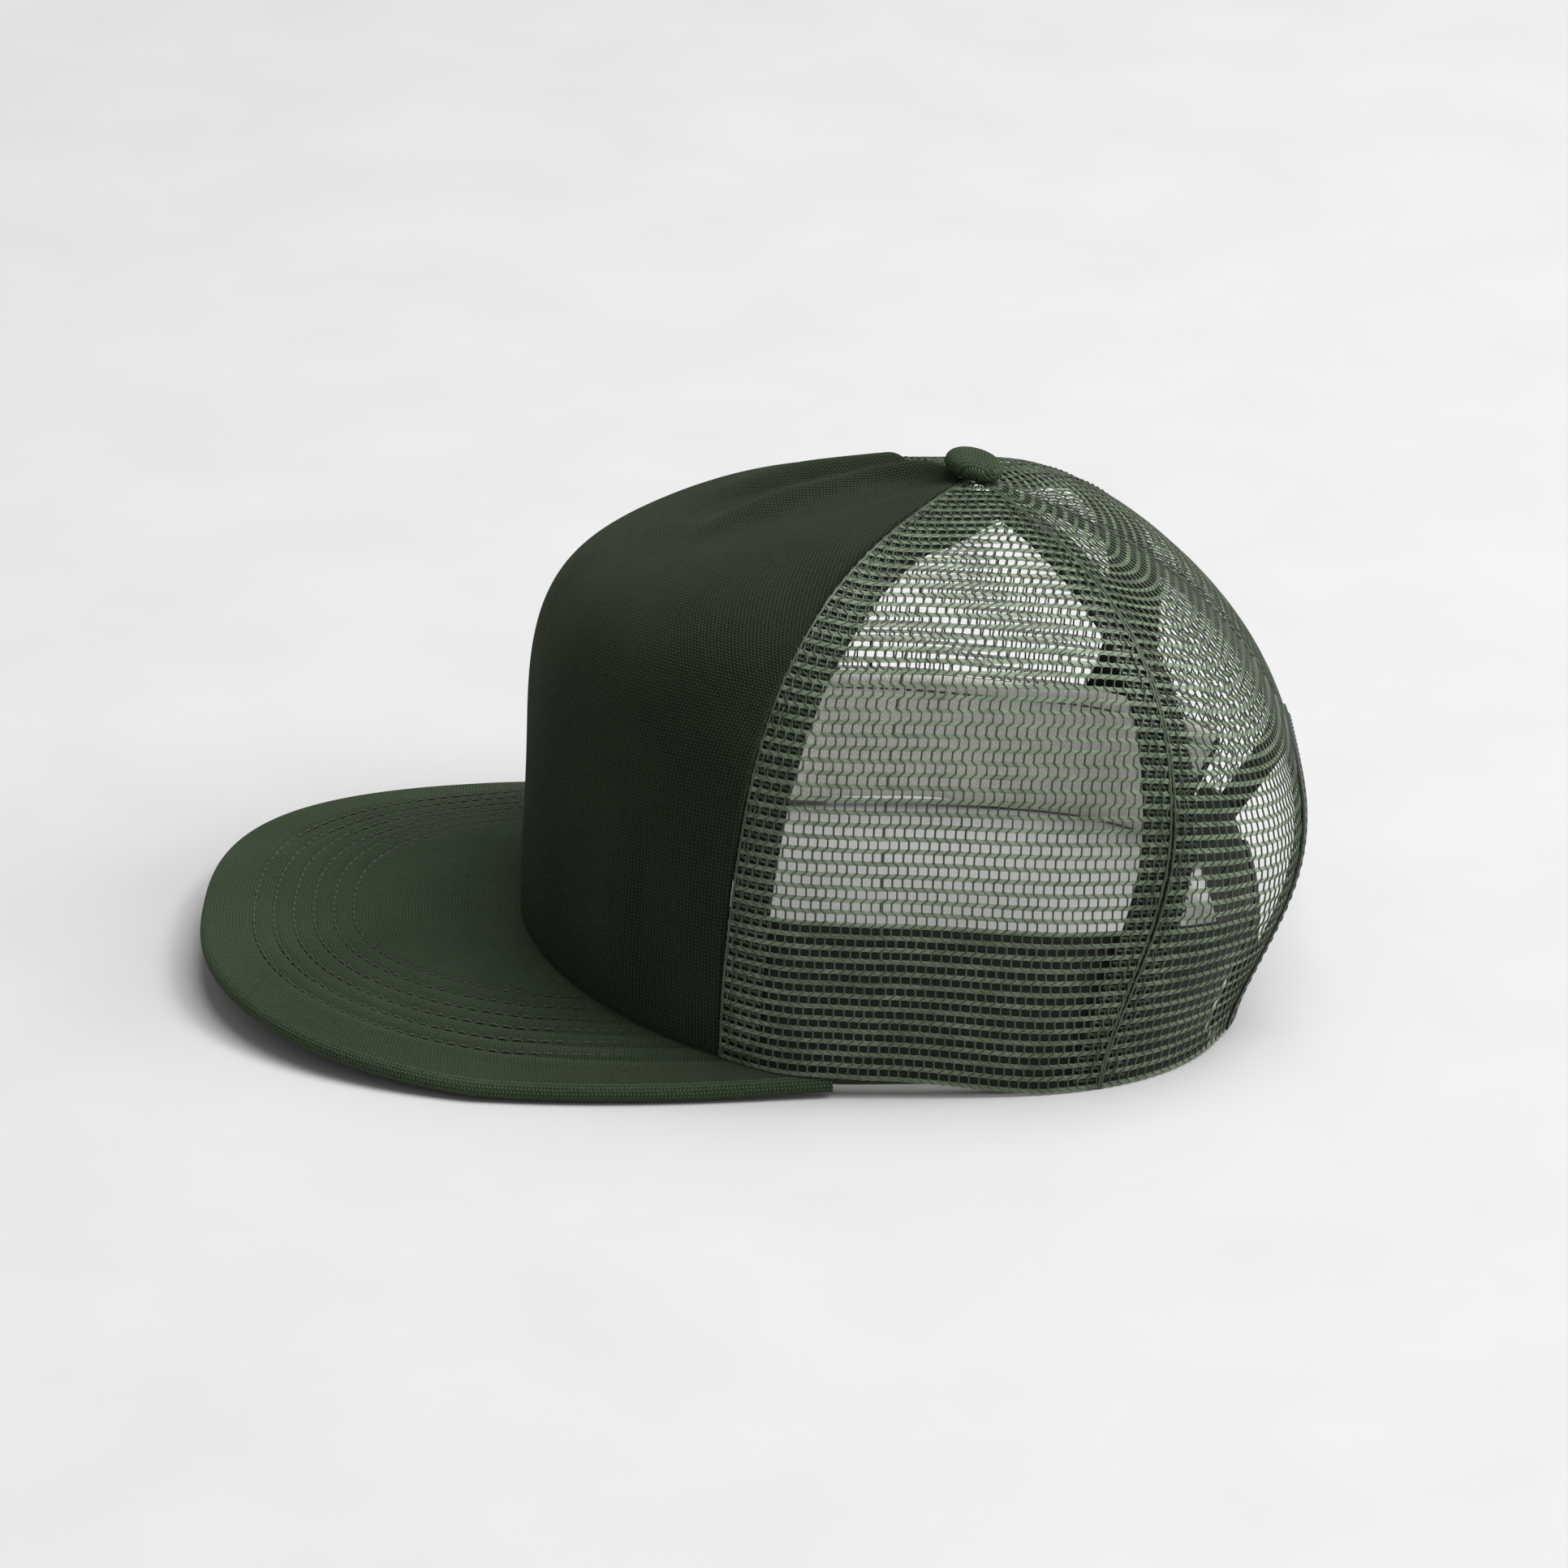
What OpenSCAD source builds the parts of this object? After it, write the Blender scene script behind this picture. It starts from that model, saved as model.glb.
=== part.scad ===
// Trucker mesh cap: foam-backed front panel, four mesh panels, flat bill, snap strap.
// The bill points along -Y, the wearer's left side is +X, and the rim stands on z = 0.
// The origin is the centre of the head opening, on the surface that the cap stands on.

/* [Crown] */
// Half width of the head opening
opening_half_w = 90; // [78:0.5:108]
// Half length of the head opening, forwards
opening_front = 91; // [78:0.5:108]
// Half length of the head opening, backwards
opening_rear = 94; // [80:0.5:112]
// How far the sides swell past the rim
swell_side = 0.5; // [0:0.1:4]
// How far the back swells past the rim
swell_rear = 19; // [0:0.5:24]
// How far the forehead wall leans back above the rim
lean_front = 2.5; // [0:0.1:8]
// Height of the crown at the button
crown_h = 129.5; // [105:0.5:156]
// Distance of the button behind the middle of the opening
apex_back = 24; // [15:0.5:32]
// Fall of the roof from the button to the forehead
roof_fall_front = 20; // [5:0.5:26]
// Fall of the roof from the button to the sides
roof_fall_side = 10; // [5:0.5:26]
// Fall of the roof from the button to the back
roof_fall_rear = 32; // [15:0.5:38]
// How much higher the stuffed left shoulder stands than the middle
shoulder_lift = 6; // [0:0.5:9]
// Squareness of the forehead shoulder
square_front = 7; // [4:0.5:9]
// Squareness of the side shoulder
square_side = 3; // [2.4:0.1:5]
// Squareness of the back
square_rear = 3; // [2.4:0.1:5]

/* [Cloth] */
// Thickness of the knit cloth of the front panel
cloth_t = 0.9; // [0.5:0.1:1.5]
// Thickness of the foam behind the front panel
foam_t = 2; // [1:0.1:3]
// Thickness of the mesh panels
mesh_t = 0.9; // [0.5:0.1:1.5]
// Thickness of the seam tapes
tape_t = 0.8; // [0.4:0.1:1.2]
// Width of the front seam tapes
front_tape_w = 11; // [6:0.5:16]
// Width of the rear and centre back seam tapes
rear_tape_w = 13; // [6:0.5:16]
// Height of the sweatband
band_h = 40; // [25:0.5:45]
// Thickness of the sweatband
band_t = 2; // [1:0.1:3]

/* [Bill] */
// Half width of the bill
bill_half_w = 96; // [80:0.5:114]
// Distance of the bill's tip in front of the middle of the opening
bill_reach = 173; // [145:0.5:200]
// Height of the bill's arch over its side edges
bill_arch = 8; // [3:0.5:14]
// Thickness of the board
board_t = 2.2; // [1.4:0.1:3]
// Thickness of the bill's cloth, over and under the board
bill_cloth_t = 0.9; // [0.5:0.1:1.5]
// How far the cloth runs past the board at the outer edge
bill_roll = 1.2; // [0.6:0.1:2]

/* [Button] */
// Radius of the button
button_r = 7.5; // [6:0.1:10]
// Height of the button
button_h = 5; // [3.5:0.1:7]
// Tilt of the button towards the back
button_tilt = 14; // [0:1:25]
// Radius of the rivet's shank
shank_r = 1.6; // [1:0.1:2.5]

/* [Rear opening] */
// Half width of the rear opening at the rim
arch_half_w = 46; // [36:0.5:54]
// Height of the rear opening
arch_h = 52; // [44:0.5:60]
// Width of the binding round the rear opening
binding_w = 9; // [6:0.5:12]

/* [Snap strap] */
// Height of the straps
strap_h = 18; // [14:0.5:22]
// Thickness of the straps
strap_t = 1.3; // [1:0.1:1.8]
// Height of the straps' lower edge above the rim
strap_lift = 2; // [1:0.1:4]
// Distance from one peg to the next
peg_pitch = 8; // [7:0.1:9]
// Number of pegs
peg_count = 6; // [3:1:6]
// Number of holes
hole_count = 7; // [6:1:7]
// Radius of the pegs
peg_r = 1.6; // [1.2:0.1:2]
// Clearance between a peg and its hole
peg_gap = 0.5; // [0.4:0.05:0.8]
// Clearance between the two straps
strap_gap = 0.5; // [0.3:0.1:1]
// Length of the sewn tab behind the rear panel
tab_len = 15; // [8:0.5:18]

/* [Hidden] */

bottle_green = [0.16, 0.20, 0.15];
mesh_green = [0.33, 0.42, 0.32];
near_black = [0.06, 0.08, 0.07];
foam_white = [0.85, 0.86, 0.82];
strap_green = [0.13, 0.17, 0.13];

// gaps between layers, so that no two pieces share space
layer_gap = 0.15;
tape_gap = 0.5;
inner_gap = 0.4;
rim_gap = 0.35;
// seams, as angles round the head opening from the forehead, at the rim and near the roof
front_seam_low = 64.8;
front_seam_high = 68.5;
rear_seam_low = 115;
rear_seam_high = 125;
seam_settle = 0.6;
// the rim climbs onto the bill between these two angles
rim_drop_from = 84;
rim_drop_to = 106;
// the back half of the opening is squarer than an ellipse
outline_square = 3.2;
// share of the height at which the walls have swollen fully, and how gently they start
swell_top = 0.55;
swell_start = 1.4;
// panels stop this far along the profile, just short of the button's shank
roof_end = 88;
// grid steps
rows = 20;
front_cols = 22;
side_cols = 10;
rear_cols = 20;

// --- small helpers ---
function clamp01(q) = min(max(q, 0), 1);
function smooth(q) = let (s = clamp01(q)) s * s * (3 - 2 * s);
function mix(a, b, s) = a + (b - a) * s;
// value given at the forehead, the sides and the back, blended round the head
function around(a, front, side, rear) = a < 90
    ? mix(front, side, smooth((a - 10) / 70))
    : mix(side, rear, smooth((a - 100) / 70));

// --- bill surface ---
bill_stack = board_t + 2 * bill_cloth_t + 2 * layer_gap;
// share of the half width at which the bill's underside comes down to the floor
bill_foot = 0.965;
// height of the bill's underside over the floor, arched from side to side
function bill_under(x) = bill_arch * (1 - pow(clamp01(abs(x) / bill_half_w / bill_foot), 3));
// height of the bill's upper face
function bill_over(x) = bill_under(x) + bill_stack;

// --- crown surface ---
function outline_x(a, w) = w * pow(sin(a), 2 / mix(2, outline_square, smooth((a - 60) / 50)));
function outline_y(a, front, rear) = let (power = 2 / mix(2, outline_square, smooth((a - 60) / 50)))
    a < 90 ? -front * pow(cos(a), power) : rear * pow(-cos(a), power);
// height of the rim: on the bill in front, on the floor at the sides and back
function rim_z(a) = let (xb = outline_x(min(a, rim_drop_from), opening_half_w))
    (bill_over(xb) + rim_gap) * (1 - smooth((a - rim_drop_from) / (rim_drop_to - rim_drop_from)));

// share of the way out from the button's axis, and up from the rim, on a rounded profile
function profile(a, rise) = let (
    n = around(a, square_front, square_side, square_rear),
    c = cos(rise), s = sin(rise),
    d = pow(pow(c, n) + pow(s, n), 1 / n))
    [c / d, s / d];
// profile angle at a height over the rim, low on the wall
function rise_at(height, fall) = atan(height / (crown_h - fall));
// angle from the middle of the back at which the outline is x wide
function back_angle(x) = asin(pow(clamp01(x / opening_half_w), outline_square / 2));

// point of the crown: side is 1 on the left and -1 on the right, a the angle from the
// forehead, rise the profile angle from 0 at the rim to 90 at the button
function crown(side, a, rise) = let (
    reach = profile(a, rise), out = reach[0], up = reach[1],
    swell = pow(sin(90 * clamp01(up / swell_top)), swell_start),
    x = outline_x(a, opening_half_w + swell_side * swell) * out,
    y = mix(apex_back, outline_y(a, opening_front - lean_front * swell,
        opening_rear + swell_rear * swell), out),
    roof = crown_h - around(a, roof_fall_front, roof_fall_side, roof_fall_rear) * out
        + shoulder_lift * side * x / opening_half_w)
    [side * x, y, mix(rim_z(a), roof, up)];

// outward direction, kept level or upward so that the rim's edge is level
step = 0.5;
function flat_up(v) = let (q = [v[0], v[1], max(v[2], 0)]) q / norm(q);
function outward(side, a, rise) = let (
    a0 = max(a - step, 0.01), a1 = min(a + step, 179.99),
    r0 = max(rise - step, 0), r1 = min(rise + step, 89.5))
    flat_up(side * cross(crown(side, a1, rise) - crown(side, a0, rise),
        crown(side, a, r1) - crown(side, a, r0)));
// the direction on the two middle lines has no sideways part
function outward_mid(side, a, rise) = let (v = outward(side, a, rise))
    (a < step || a > 180 - step) ? flat_up([0, v[1], v[2]]) : v;
function layer(side, a, rise, depth) = crown(side, a, rise) - depth * outward_mid(side, a, rise);

function front_seam(rise) = mix(front_seam_low, front_seam_high, smooth(rise / 90 / seam_settle));
function rear_seam(rise) = mix(rear_seam_low, rear_seam_high, smooth(rise / 90 / seam_settle));

// --- rear opening: an arch cut into the lower edge of the rear panels ---
// angle at which the rim reaches the opening
arch_angle = back_angle(arch_half_w);
// profile angle of the arch's top
arch_rise = rise_at(arch_h, roof_fall_rear);
// the straps turn just inside the opening's edge, at the height of their top
root_clear = 1.5;
strap_top = strap_lift + strap_h;
root_x = arch_half_w * sqrt(1 - pow(strap_top / arch_h, 2)) - root_clear;
rear_span = 180 - rear_seam_low;
arch_from = 0.5;
// share of the rear panel's width, and profile angle of its lower edge, for column c of 0..1
function rear_share(c) = c < arch_from
    ? mix(0, 1 - arch_angle / rear_span, c / arch_from)
    : 1 - arch_angle / rear_span * cos(90 * (c - arch_from) / (1 - arch_from));
function rear_edge(c) = c < arch_from ? 0 : arch_rise * sin(90 * (c - arch_from) / (1 - arch_from));
function rear_angle(share, rise) = mix(rear_seam(rise), 180, share);

// --- closed shell from two matching grids of points ---
module shell(outer, inner) {
    m = len(outer);
    n = len(outer[0]);
    points = [for (g = [outer, inner]) for (line = g) for (p = line) p];
    function at(g, i, j) = g * m * n + i * n + j;
    skin = [for (i = [0 : m - 2]) for (j = [0 : n - 2]) for (f = [
        [at(0, i, j), at(0, i + 1, j), at(0, i + 1, j + 1)],
        [at(0, i, j), at(0, i + 1, j + 1), at(0, i, j + 1)],
        [at(1, i, j), at(1, i + 1, j + 1), at(1, i + 1, j)],
        [at(1, i, j), at(1, i, j + 1), at(1, i + 1, j + 1)]]) f];
    ends = [for (i = [0 : m - 2]) for (f = [
        [at(0, i, 0), at(1, i, 0), at(1, i + 1, 0)],
        [at(0, i, 0), at(1, i + 1, 0), at(0, i + 1, 0)],
        [at(0, i, n - 1), at(1, i + 1, n - 1), at(1, i, n - 1)],
        [at(0, i, n - 1), at(0, i + 1, n - 1), at(1, i + 1, n - 1)]]) f];
    edges = [for (j = [0 : n - 2]) for (f = [
        [at(0, 0, j), at(1, 0, j + 1), at(1, 0, j)],
        [at(0, 0, j), at(0, 0, j + 1), at(1, 0, j + 1)],
        [at(0, m - 1, j), at(1, m - 1, j), at(1, m - 1, j + 1)],
        [at(0, m - 1, j), at(1, m - 1, j + 1), at(0, m - 1, j + 1)]]) f];
    polyhedron(points, concat(skin, ends, edges));
}

// shell between two depths of the crown; spots is a grid of [side, angle, rise]
module crown_shell(spots, depth, thick) {
    outer = [for (line = spots) [for (q = line) layer(q[0], q[1], q[2], depth)]];
    inner = [for (line = spots) [for (q = line) layer(q[0], q[1], q[2], depth + thick)]];
    shell(outer, inner);
}
// the same grid turned round for the other side, so that its faces still point outwards
function facing(side, spots) = side > 0 ? spots : [for (i = [len(spots) - 1 : -1 : 0]) spots[i]];

// --- front panel and foam ---
// share by which the foam stops short of the seams
foam_short = 0.01;
front_rows = [for (j = [0 : rows]) roof_end * j / rows];
function front_spots(shrink) = [for (i = [0 : front_cols]) let (s = 2 * i / front_cols - 1)
    [for (rise = front_rows) [s < 0 ? -1 : 1, abs(s) * front_seam(rise) * (1 - shrink), rise]]];
module front_panel() {
    color(bottle_green) crown_shell(front_spots(0), 0, cloth_t);
}
module front_foam() {
    color(foam_white) crown_shell(front_spots(foam_short), cloth_t + layer_gap, foam_t);
}

// --- mesh panels ---
module side_mesh(side) {
    spots = [for (i = [0 : side_cols]) [for (rise = front_rows)
        [side, mix(front_seam(rise), rear_seam(rise), i / side_cols), rise]]];
    color(mesh_green) crown_shell(facing(side, spots), 0, mesh_t);
}
module rear_mesh(side) {
    spots = [for (i = [0 : rear_cols]) let (c = i / rear_cols) [for (j = [0 : rows])
        let (rise = mix(rear_edge(c), roof_end, j / rows)) [side, rear_angle(rear_share(c), rise), rise]]];
    color(mesh_green) crown_shell(facing(side, spots), 0, mesh_t);
}

// --- seam tapes, behind the panels ---
front_depth = cloth_t + layer_gap + foam_t + tape_gap;
mesh_depth = mesh_t + tape_gap;
tape_end = 76;
tape_cols = 2;
// degrees of rise between a tape and the band or binding under it
tape_clear = 2;
binding_clear = 1;
band_rise = rise_at(band_h, roof_fall_side);
// degrees of turn that span a width at one height of the crown
function tape_angle(w, a, rise) = w / (opening_half_w * PI / 180 * profile(a, rise)[0]);
module seam_tape(side, front) {
    from = band_rise + tape_clear;
    spots = [for (i = [0 : tape_cols]) [for (j = [0 : rows])
        let (rise = mix(from, tape_end, j / rows), middle = front ? front_seam(rise) : rear_seam(rise),
            turn = tape_angle(front ? front_tape_w : rear_tape_w, middle, rise))
        [side, middle + (i / tape_cols - 0.5) * turn, rise]]];
    color(near_black) crown_shell(facing(side, spots), front ? front_depth : mesh_depth, tape_t);
}
module centre_back_tape() {
    from = arch_rise + rise_at(binding_w, roof_fall_rear) + binding_clear;
    spots = [for (i = [0 : tape_cols]) [for (j = [0 : rows])
        let (rise = mix(from, tape_end, j / rows), half = rear_tape_w / 2 / profile(180, rise)[0])
        [i < 1 ? 1 : -1, 180 - abs(i - 1) * back_angle(half), rise]]];
    color(near_black) crown_shell(spots, mesh_depth, tape_t);
}

// --- binding round the rear opening, inside the mesh ---
arch_cols = 28;
// share of the arch, so that the binding's feet stop just over the rim
arch_share = 0.985;
// point of the arch for q from -1 (right foot) to 1 (left foot), and out, the share of
// the binding's width away from the opening's edge
function arch_spot(q, out) = let (
    turn = 90 * (1 - abs(q)),
    half = back_angle(arch_half_w + out * binding_w),
    rise = (arch_rise + out * rise_at(binding_w, roof_fall_rear)) * sin(turn),
    share = 1 - half * cos(turn) / rear_span)
    [q < 0 ? -1 : 1, rear_angle(share, rise), rise];
module opening_binding() {
    spots = [for (i = [0 : arch_cols]) let (q = 1 - 2 * i / arch_cols)
        [for (out = [0, 1]) arch_spot(q * arch_share, out)]];
    color(near_black) crown_shell(spots, mesh_depth, tape_t);
}

// --- sweatband ---
band_depth = front_depth + inner_gap;
// the band stops just short of the sewn strap tabs
band_short = 3;
band_turn = 180 - back_angle(root_x + tab_len + band_short);
band_cols = 44;
band_rows = 3;
module sweatband() {
    spots = [for (i = [0 : band_cols]) let (s = 2 * i / band_cols - 1)
        [for (j = [0 : band_rows]) [s < 0 ? -1 : 1, abs(s) * band_turn, band_rise * j / band_rows]]];
    color(near_black) crown_shell(spots, band_depth, band_t);
}

// --- bill ---
bill_turn = 84;
bill_cols = 40;
bill_rows = 8;
bill_widest = 45;
// how far the bill reaches in under the crown's wall
root_tuck = 1;
bill_round = 2.5;
// behind this turn the edge draws in and runs back to the crown's side
bill_corner = 70;
bill_draw_in = 0.065;
bill_run_back = 34;
// outer edge of the bill for turn from -90 (right corner) to 90 (left corner); it draws
// in a little behind its widest place
function bill_edge(turn, inset) = let (
    ahead = pow(cos(turn), 2 / bill_round),
    back = max(0, (abs(turn) - bill_corner) / (90 - bill_corner)),
    half = (bill_half_w - inset) * (1 - bill_draw_in * back * back))
    [sign(turn) * half * pow(abs(sin(turn)), 2 / bill_round),
        -bill_widest - (bill_reach - bill_widest - inset) * ahead + bill_run_back * back];
function bill_root(turn) = let (a = abs(turn) * bill_turn / 90)
    [sign(turn) * outline_x(a, opening_half_w - root_tuck), outline_y(a, opening_front - root_tuck, opening_rear)];
function bill_flat(turn, share, inset) = mix(bill_root(turn), bill_edge(turn, inset), share);
// sheet of the bill between two heights over its underside
module bill_sheet(low, high, inset) {
    spots = [for (i = [0 : bill_cols]) let (turn = 90 - 180 * i / bill_cols)
        [for (j = [0 : bill_rows]) bill_flat(turn, j / bill_rows, inset)]];
    top = [for (line = spots) [for (q = line) [q[0], q[1], bill_under(q[0]) + high]]];
    base = [for (line = spots) [for (q = line) [q[0], q[1], bill_under(q[0]) + low]]];
    shell(top, base);
}
module bill_under_cover() {
    color(bottle_green) bill_sheet(0, bill_cloth_t, 0);
}
module bill_board() {
    color(foam_white) bill_sheet(bill_cloth_t + layer_gap, bill_cloth_t + layer_gap + board_t, bill_roll);
}
module bill_top_cover() {
    color(bottle_green) bill_sheet(bill_stack - bill_cloth_t, bill_stack, 0);
}

// --- button and its rivet ---
button_clear = 0.6;
button_edge = 1.6;
cap_r = 6;
cap_t = 1;
module at_apex() {
    translate([0, apex_back, crown_h])
        rotate([-button_tilt, 0, 0])
            children();
}
module top_button() {
    color(bottle_green)
        at_apex()
            rotate_extrude($fn = 64)
                union() {
                    intersection() {
                        translate([0, button_clear + button_h - dome_r])
                            circle(dome_r, $fn = 128);
                        translate([0, button_clear + button_edge])
                            square([button_r, button_h]);
                    }
                    translate([0, button_clear])
                        square([button_r, button_edge]);
                }
}
dome_rise = button_h - button_edge;
dome_r = (button_r * button_r + dome_rise * dome_rise) / (2 * dome_rise);
shank_len = 7;
module button_shank() {
    color("silver")
        at_apex()
            translate([0, 0, button_clear - shank_len])
                cylinder(h = shank_len, r = shank_r, $fn = 32);
}
module button_back() {
    color(near_black)
        at_apex()
            translate([0, 0, button_clear - shank_len - cap_t])
                cylinder(h = cap_t, r = cap_r, $fn = 48);
}

// --- snap strap ---
// The straps lie on one arc over the back, in a frame that leans out with the wall.
strap_bend = 290;
root_gap = 1;
tab_depth = mesh_depth + tape_t + tape_gap;
peg_depth = strap_t + strap_gap;
foot_low = layer(1, 180 - back_angle(root_x), rise_at(strap_lift, roof_fall_rear), tab_depth);
foot_high = layer(1, 180 - back_angle(root_x), rise_at(strap_top, roof_fall_rear), tab_depth);
strap_lean = atan((foot_high[1] - foot_low[1]) / (foot_high[2] - foot_low[2]));
strap_y = foot_low[1] + strap_bend - sqrt(strap_bend * strap_bend - root_x * root_x);
overlap = peg_pitch * (peg_count - 1) / 2;
// how far the last peg stands from the start of the rounded end
nose_trim = 3;
strap_end = overlap + strap_h / 2 - nose_trim;
// how far the pegs stand out of the hole strap
peg_proud = 0.7;
peg_len = strap_gap + strap_t + peg_proud;
// how far the pegs show on the strap's inner face
peg_foot = 0.2;
function strap_turn(x) = asin(x / strap_bend);
// leaning frame with the arc's middle on its axis, at the straps' lower edge
module strap_frame() {
    translate([0, strap_y, strap_lift])
        rotate([-strap_lean, 0, 0])
            translate([0, -strap_bend, 0])
                children();
}
// strip along the arc from one x to another, with its outer face at a depth
module strap_strip(from, to, depth) {
    rotate([0, 0, 90 - strap_turn(to)])
        rotate_extrude(angle = strap_turn(to) - strap_turn(from), $fn = 360)
            translate([strap_bend - depth - strap_t, 0])
                square([strap_t, strap_h]);
}
// places something on the arc at x and at mid height, pointing outwards
module on_strap(x, depth) {
    rotate([0, 0, -strap_turn(x)])
        translate([0, strap_bend - depth, strap_h / 2])
            rotate([-90, 0, 0])
                children();
}
// upright bead at the sewn end, on which a strap turns, a little short of the strap's edges
root_bead = 0.25;
bead_inset = 0.4;
module strap_root(x, depth) {
    rotate([0, 0, -strap_turn(x)])
        translate([0, strap_bend - depth - strap_t / 2, bead_inset])
            cylinder(h = strap_h - 2 * bead_inset, r = strap_t / 2 + root_bead, $fn = 32);
}
// strap from its root to its rounded tip, cut out of the strip
nose_r = strap_h / 2 + 1;
nose_steps = 16;
module strap_outline(root, tip) {
    way = sign(tip);
    nose = [for (i = [0 : nose_steps]) let (turn = 180 * i / nose_steps - 90)
        [tip + way * nose_r * (cos(turn) - 1), strap_h / 2 + nose_r * sin(turn)]];
    translate([0, strap_bend + nose_r, 0])
        rotate([90, 0, 0])
            linear_extrude(4 * nose_r)
                polygon(concat(nose, [[root - way * nose_r, strap_h + 1], [root - way * nose_r, -1]]));
}
module strap_blank(root, tip, depth) {
    intersection() {
        strap_strip(min(root, tip + sign(tip)), max(root, tip + sign(tip)), depth);
        strap_outline(root, tip);
    }
    strap_root(root, depth);
}
module hole_strap() {
    color(strap_green)
        strap_frame()
            difference() {
                strap_blank(root_x, -strap_end, 0);
                for (i = [0 : hole_count - 1])
                    on_strap(-overlap + i * peg_pitch, 2 * strap_t)
                        cylinder(h = 3 * strap_t, r = peg_r + peg_gap, $fn = 32);
            }
}
module peg_strap() {
    color(strap_green)
        strap_frame()
            union() {
                strap_blank(-root_x, strap_end, peg_depth);
                for (i = [0 : peg_count - 1])
                    on_strap(-overlap + i * peg_pitch, peg_depth + strap_t + peg_foot)
                        cylinder(h = peg_foot + strap_t + peg_len, r = peg_r, $fn = 32);
            }
}
// sewn tab: the strap's end behind the rear panel, in the wall's own curve
tab_cols = 5;
tab_rows = 3;
module strap_tab(side) {
    from_x = root_x + strap_t / 2 + root_bead + root_gap;
    spots = [for (i = [0 : tab_cols]) [for (j = [0 : tab_rows])
        [side, 180 - back_angle(from_x + tab_len * (1 - i / tab_cols)),
            rise_at(strap_lift + strap_h * j / tab_rows, roof_fall_rear)]]];
    color(strap_green)
        crown_shell(facing(side, spots), tab_depth + (side > 0 ? 0 : peg_depth), strap_t);
}

front_panel();
front_foam();
side_mesh(1);  // side_mesh_left
side_mesh(-1);  // side_mesh_right
rear_mesh(1);  // rear_mesh_left
rear_mesh(-1);  // rear_mesh_right
seam_tape(1, true);  // front_seam_tape_left
seam_tape(-1, true);  // front_seam_tape_right
seam_tape(1, false);  // rear_seam_tape_left
seam_tape(-1, false);  // rear_seam_tape_right
centre_back_tape();
opening_binding();
sweatband();
bill_top_cover();
bill_board();
bill_under_cover();
top_button();
button_shank();
button_back();
strap_tab(1);  // strap_tab_left
strap_tab(-1);  // strap_tab_right
hole_strap();
peg_strap();
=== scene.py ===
"""Trucker mesh cap: foam-backed cloth front, four knitted mesh panels, stitched bill, snap strap.

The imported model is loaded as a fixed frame. Each sub-assembly is a class that works out
its surfaces in millimetres with numpy and hands them to Blender in metres.
"""

import logging
import math
from collections.abc import Callable
from dataclasses import dataclass
from enum import Enum

import bpy
import numpy as np
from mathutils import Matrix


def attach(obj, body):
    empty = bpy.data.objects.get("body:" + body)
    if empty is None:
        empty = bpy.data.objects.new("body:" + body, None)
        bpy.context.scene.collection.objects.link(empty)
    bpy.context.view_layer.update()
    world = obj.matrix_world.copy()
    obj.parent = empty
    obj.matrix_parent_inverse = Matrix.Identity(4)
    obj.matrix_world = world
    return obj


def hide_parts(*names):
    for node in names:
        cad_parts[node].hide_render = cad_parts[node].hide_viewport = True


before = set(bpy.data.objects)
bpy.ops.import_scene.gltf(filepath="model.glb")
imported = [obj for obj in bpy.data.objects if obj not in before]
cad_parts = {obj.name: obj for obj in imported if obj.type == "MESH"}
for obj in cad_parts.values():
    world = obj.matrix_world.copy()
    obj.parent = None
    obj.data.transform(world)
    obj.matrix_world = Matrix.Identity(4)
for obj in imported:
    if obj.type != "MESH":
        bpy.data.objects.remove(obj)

LOG = logging.getLogger("cap")
MM = 0.001
BODY = "crown"
CLOTH_MAP = "Cloth"
FULL_TURN = 2 * math.pi

Array = np.ndarray


# --- sums that the shapes share ---


def mix(low: Array | float, high: Array | float, share: Array | float) -> Array | float:
    """Returns low plus share times the way from low to high."""
    return low + (high - low) * share


def ease(q: Array | float) -> Array:
    """Returns 3q^2 - 2q^3 with q held between 0 and 1."""
    s = np.clip(q, 0.0, 1.0)
    return s * s * (3 - 2 * s)


def hump(distance: Array, width: float) -> Array:
    """Returns a bell of height 1: e to the minus square of distance over width."""
    return np.exp(-np.square(distance / width))


def unit(v: Array) -> Array:
    """Returns the vectors in v, each made one long."""
    return v / np.maximum(np.linalg.norm(v, axis=-1, keepdims=True), 1e-9)


def run_length(points: Array, axis: int) -> Array:
    """Measures how far each point of a grid lies along its lines.

    Args:
        points: Points, with their coordinates on the last axis.
        axis: The axis that the lines run along.

    Returns:
        The running sum of the steps from each point to the next, starting at 0.
    """
    steps = np.linalg.norm(np.diff(points, axis=axis), axis=-1)
    start = np.zeros_like(np.take(steps, [0], axis=axis))
    return np.cumsum(np.concatenate([start, steps], axis=axis), axis=axis)


def linear(hex_colour: str) -> tuple[float, float, float, float]:
    """Turns an sRGB hex colour to the linear values that shaders take.

    Args:
        hex_colour: Six hex digits after a hash.

    Returns:
        Red, green and blue by the sRGB curve, with an alpha of 1.
    """
    parts = [int(hex_colour[i : i + 2], 16) / 255 for i in (1, 3, 5)]
    r, g, b = (c / 12.92 if c <= 0.04045 else ((c + 0.055) / 1.055) ** 2.4 for c in parts)
    return r, g, b, 1.0


# --- surfaces ---


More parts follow.
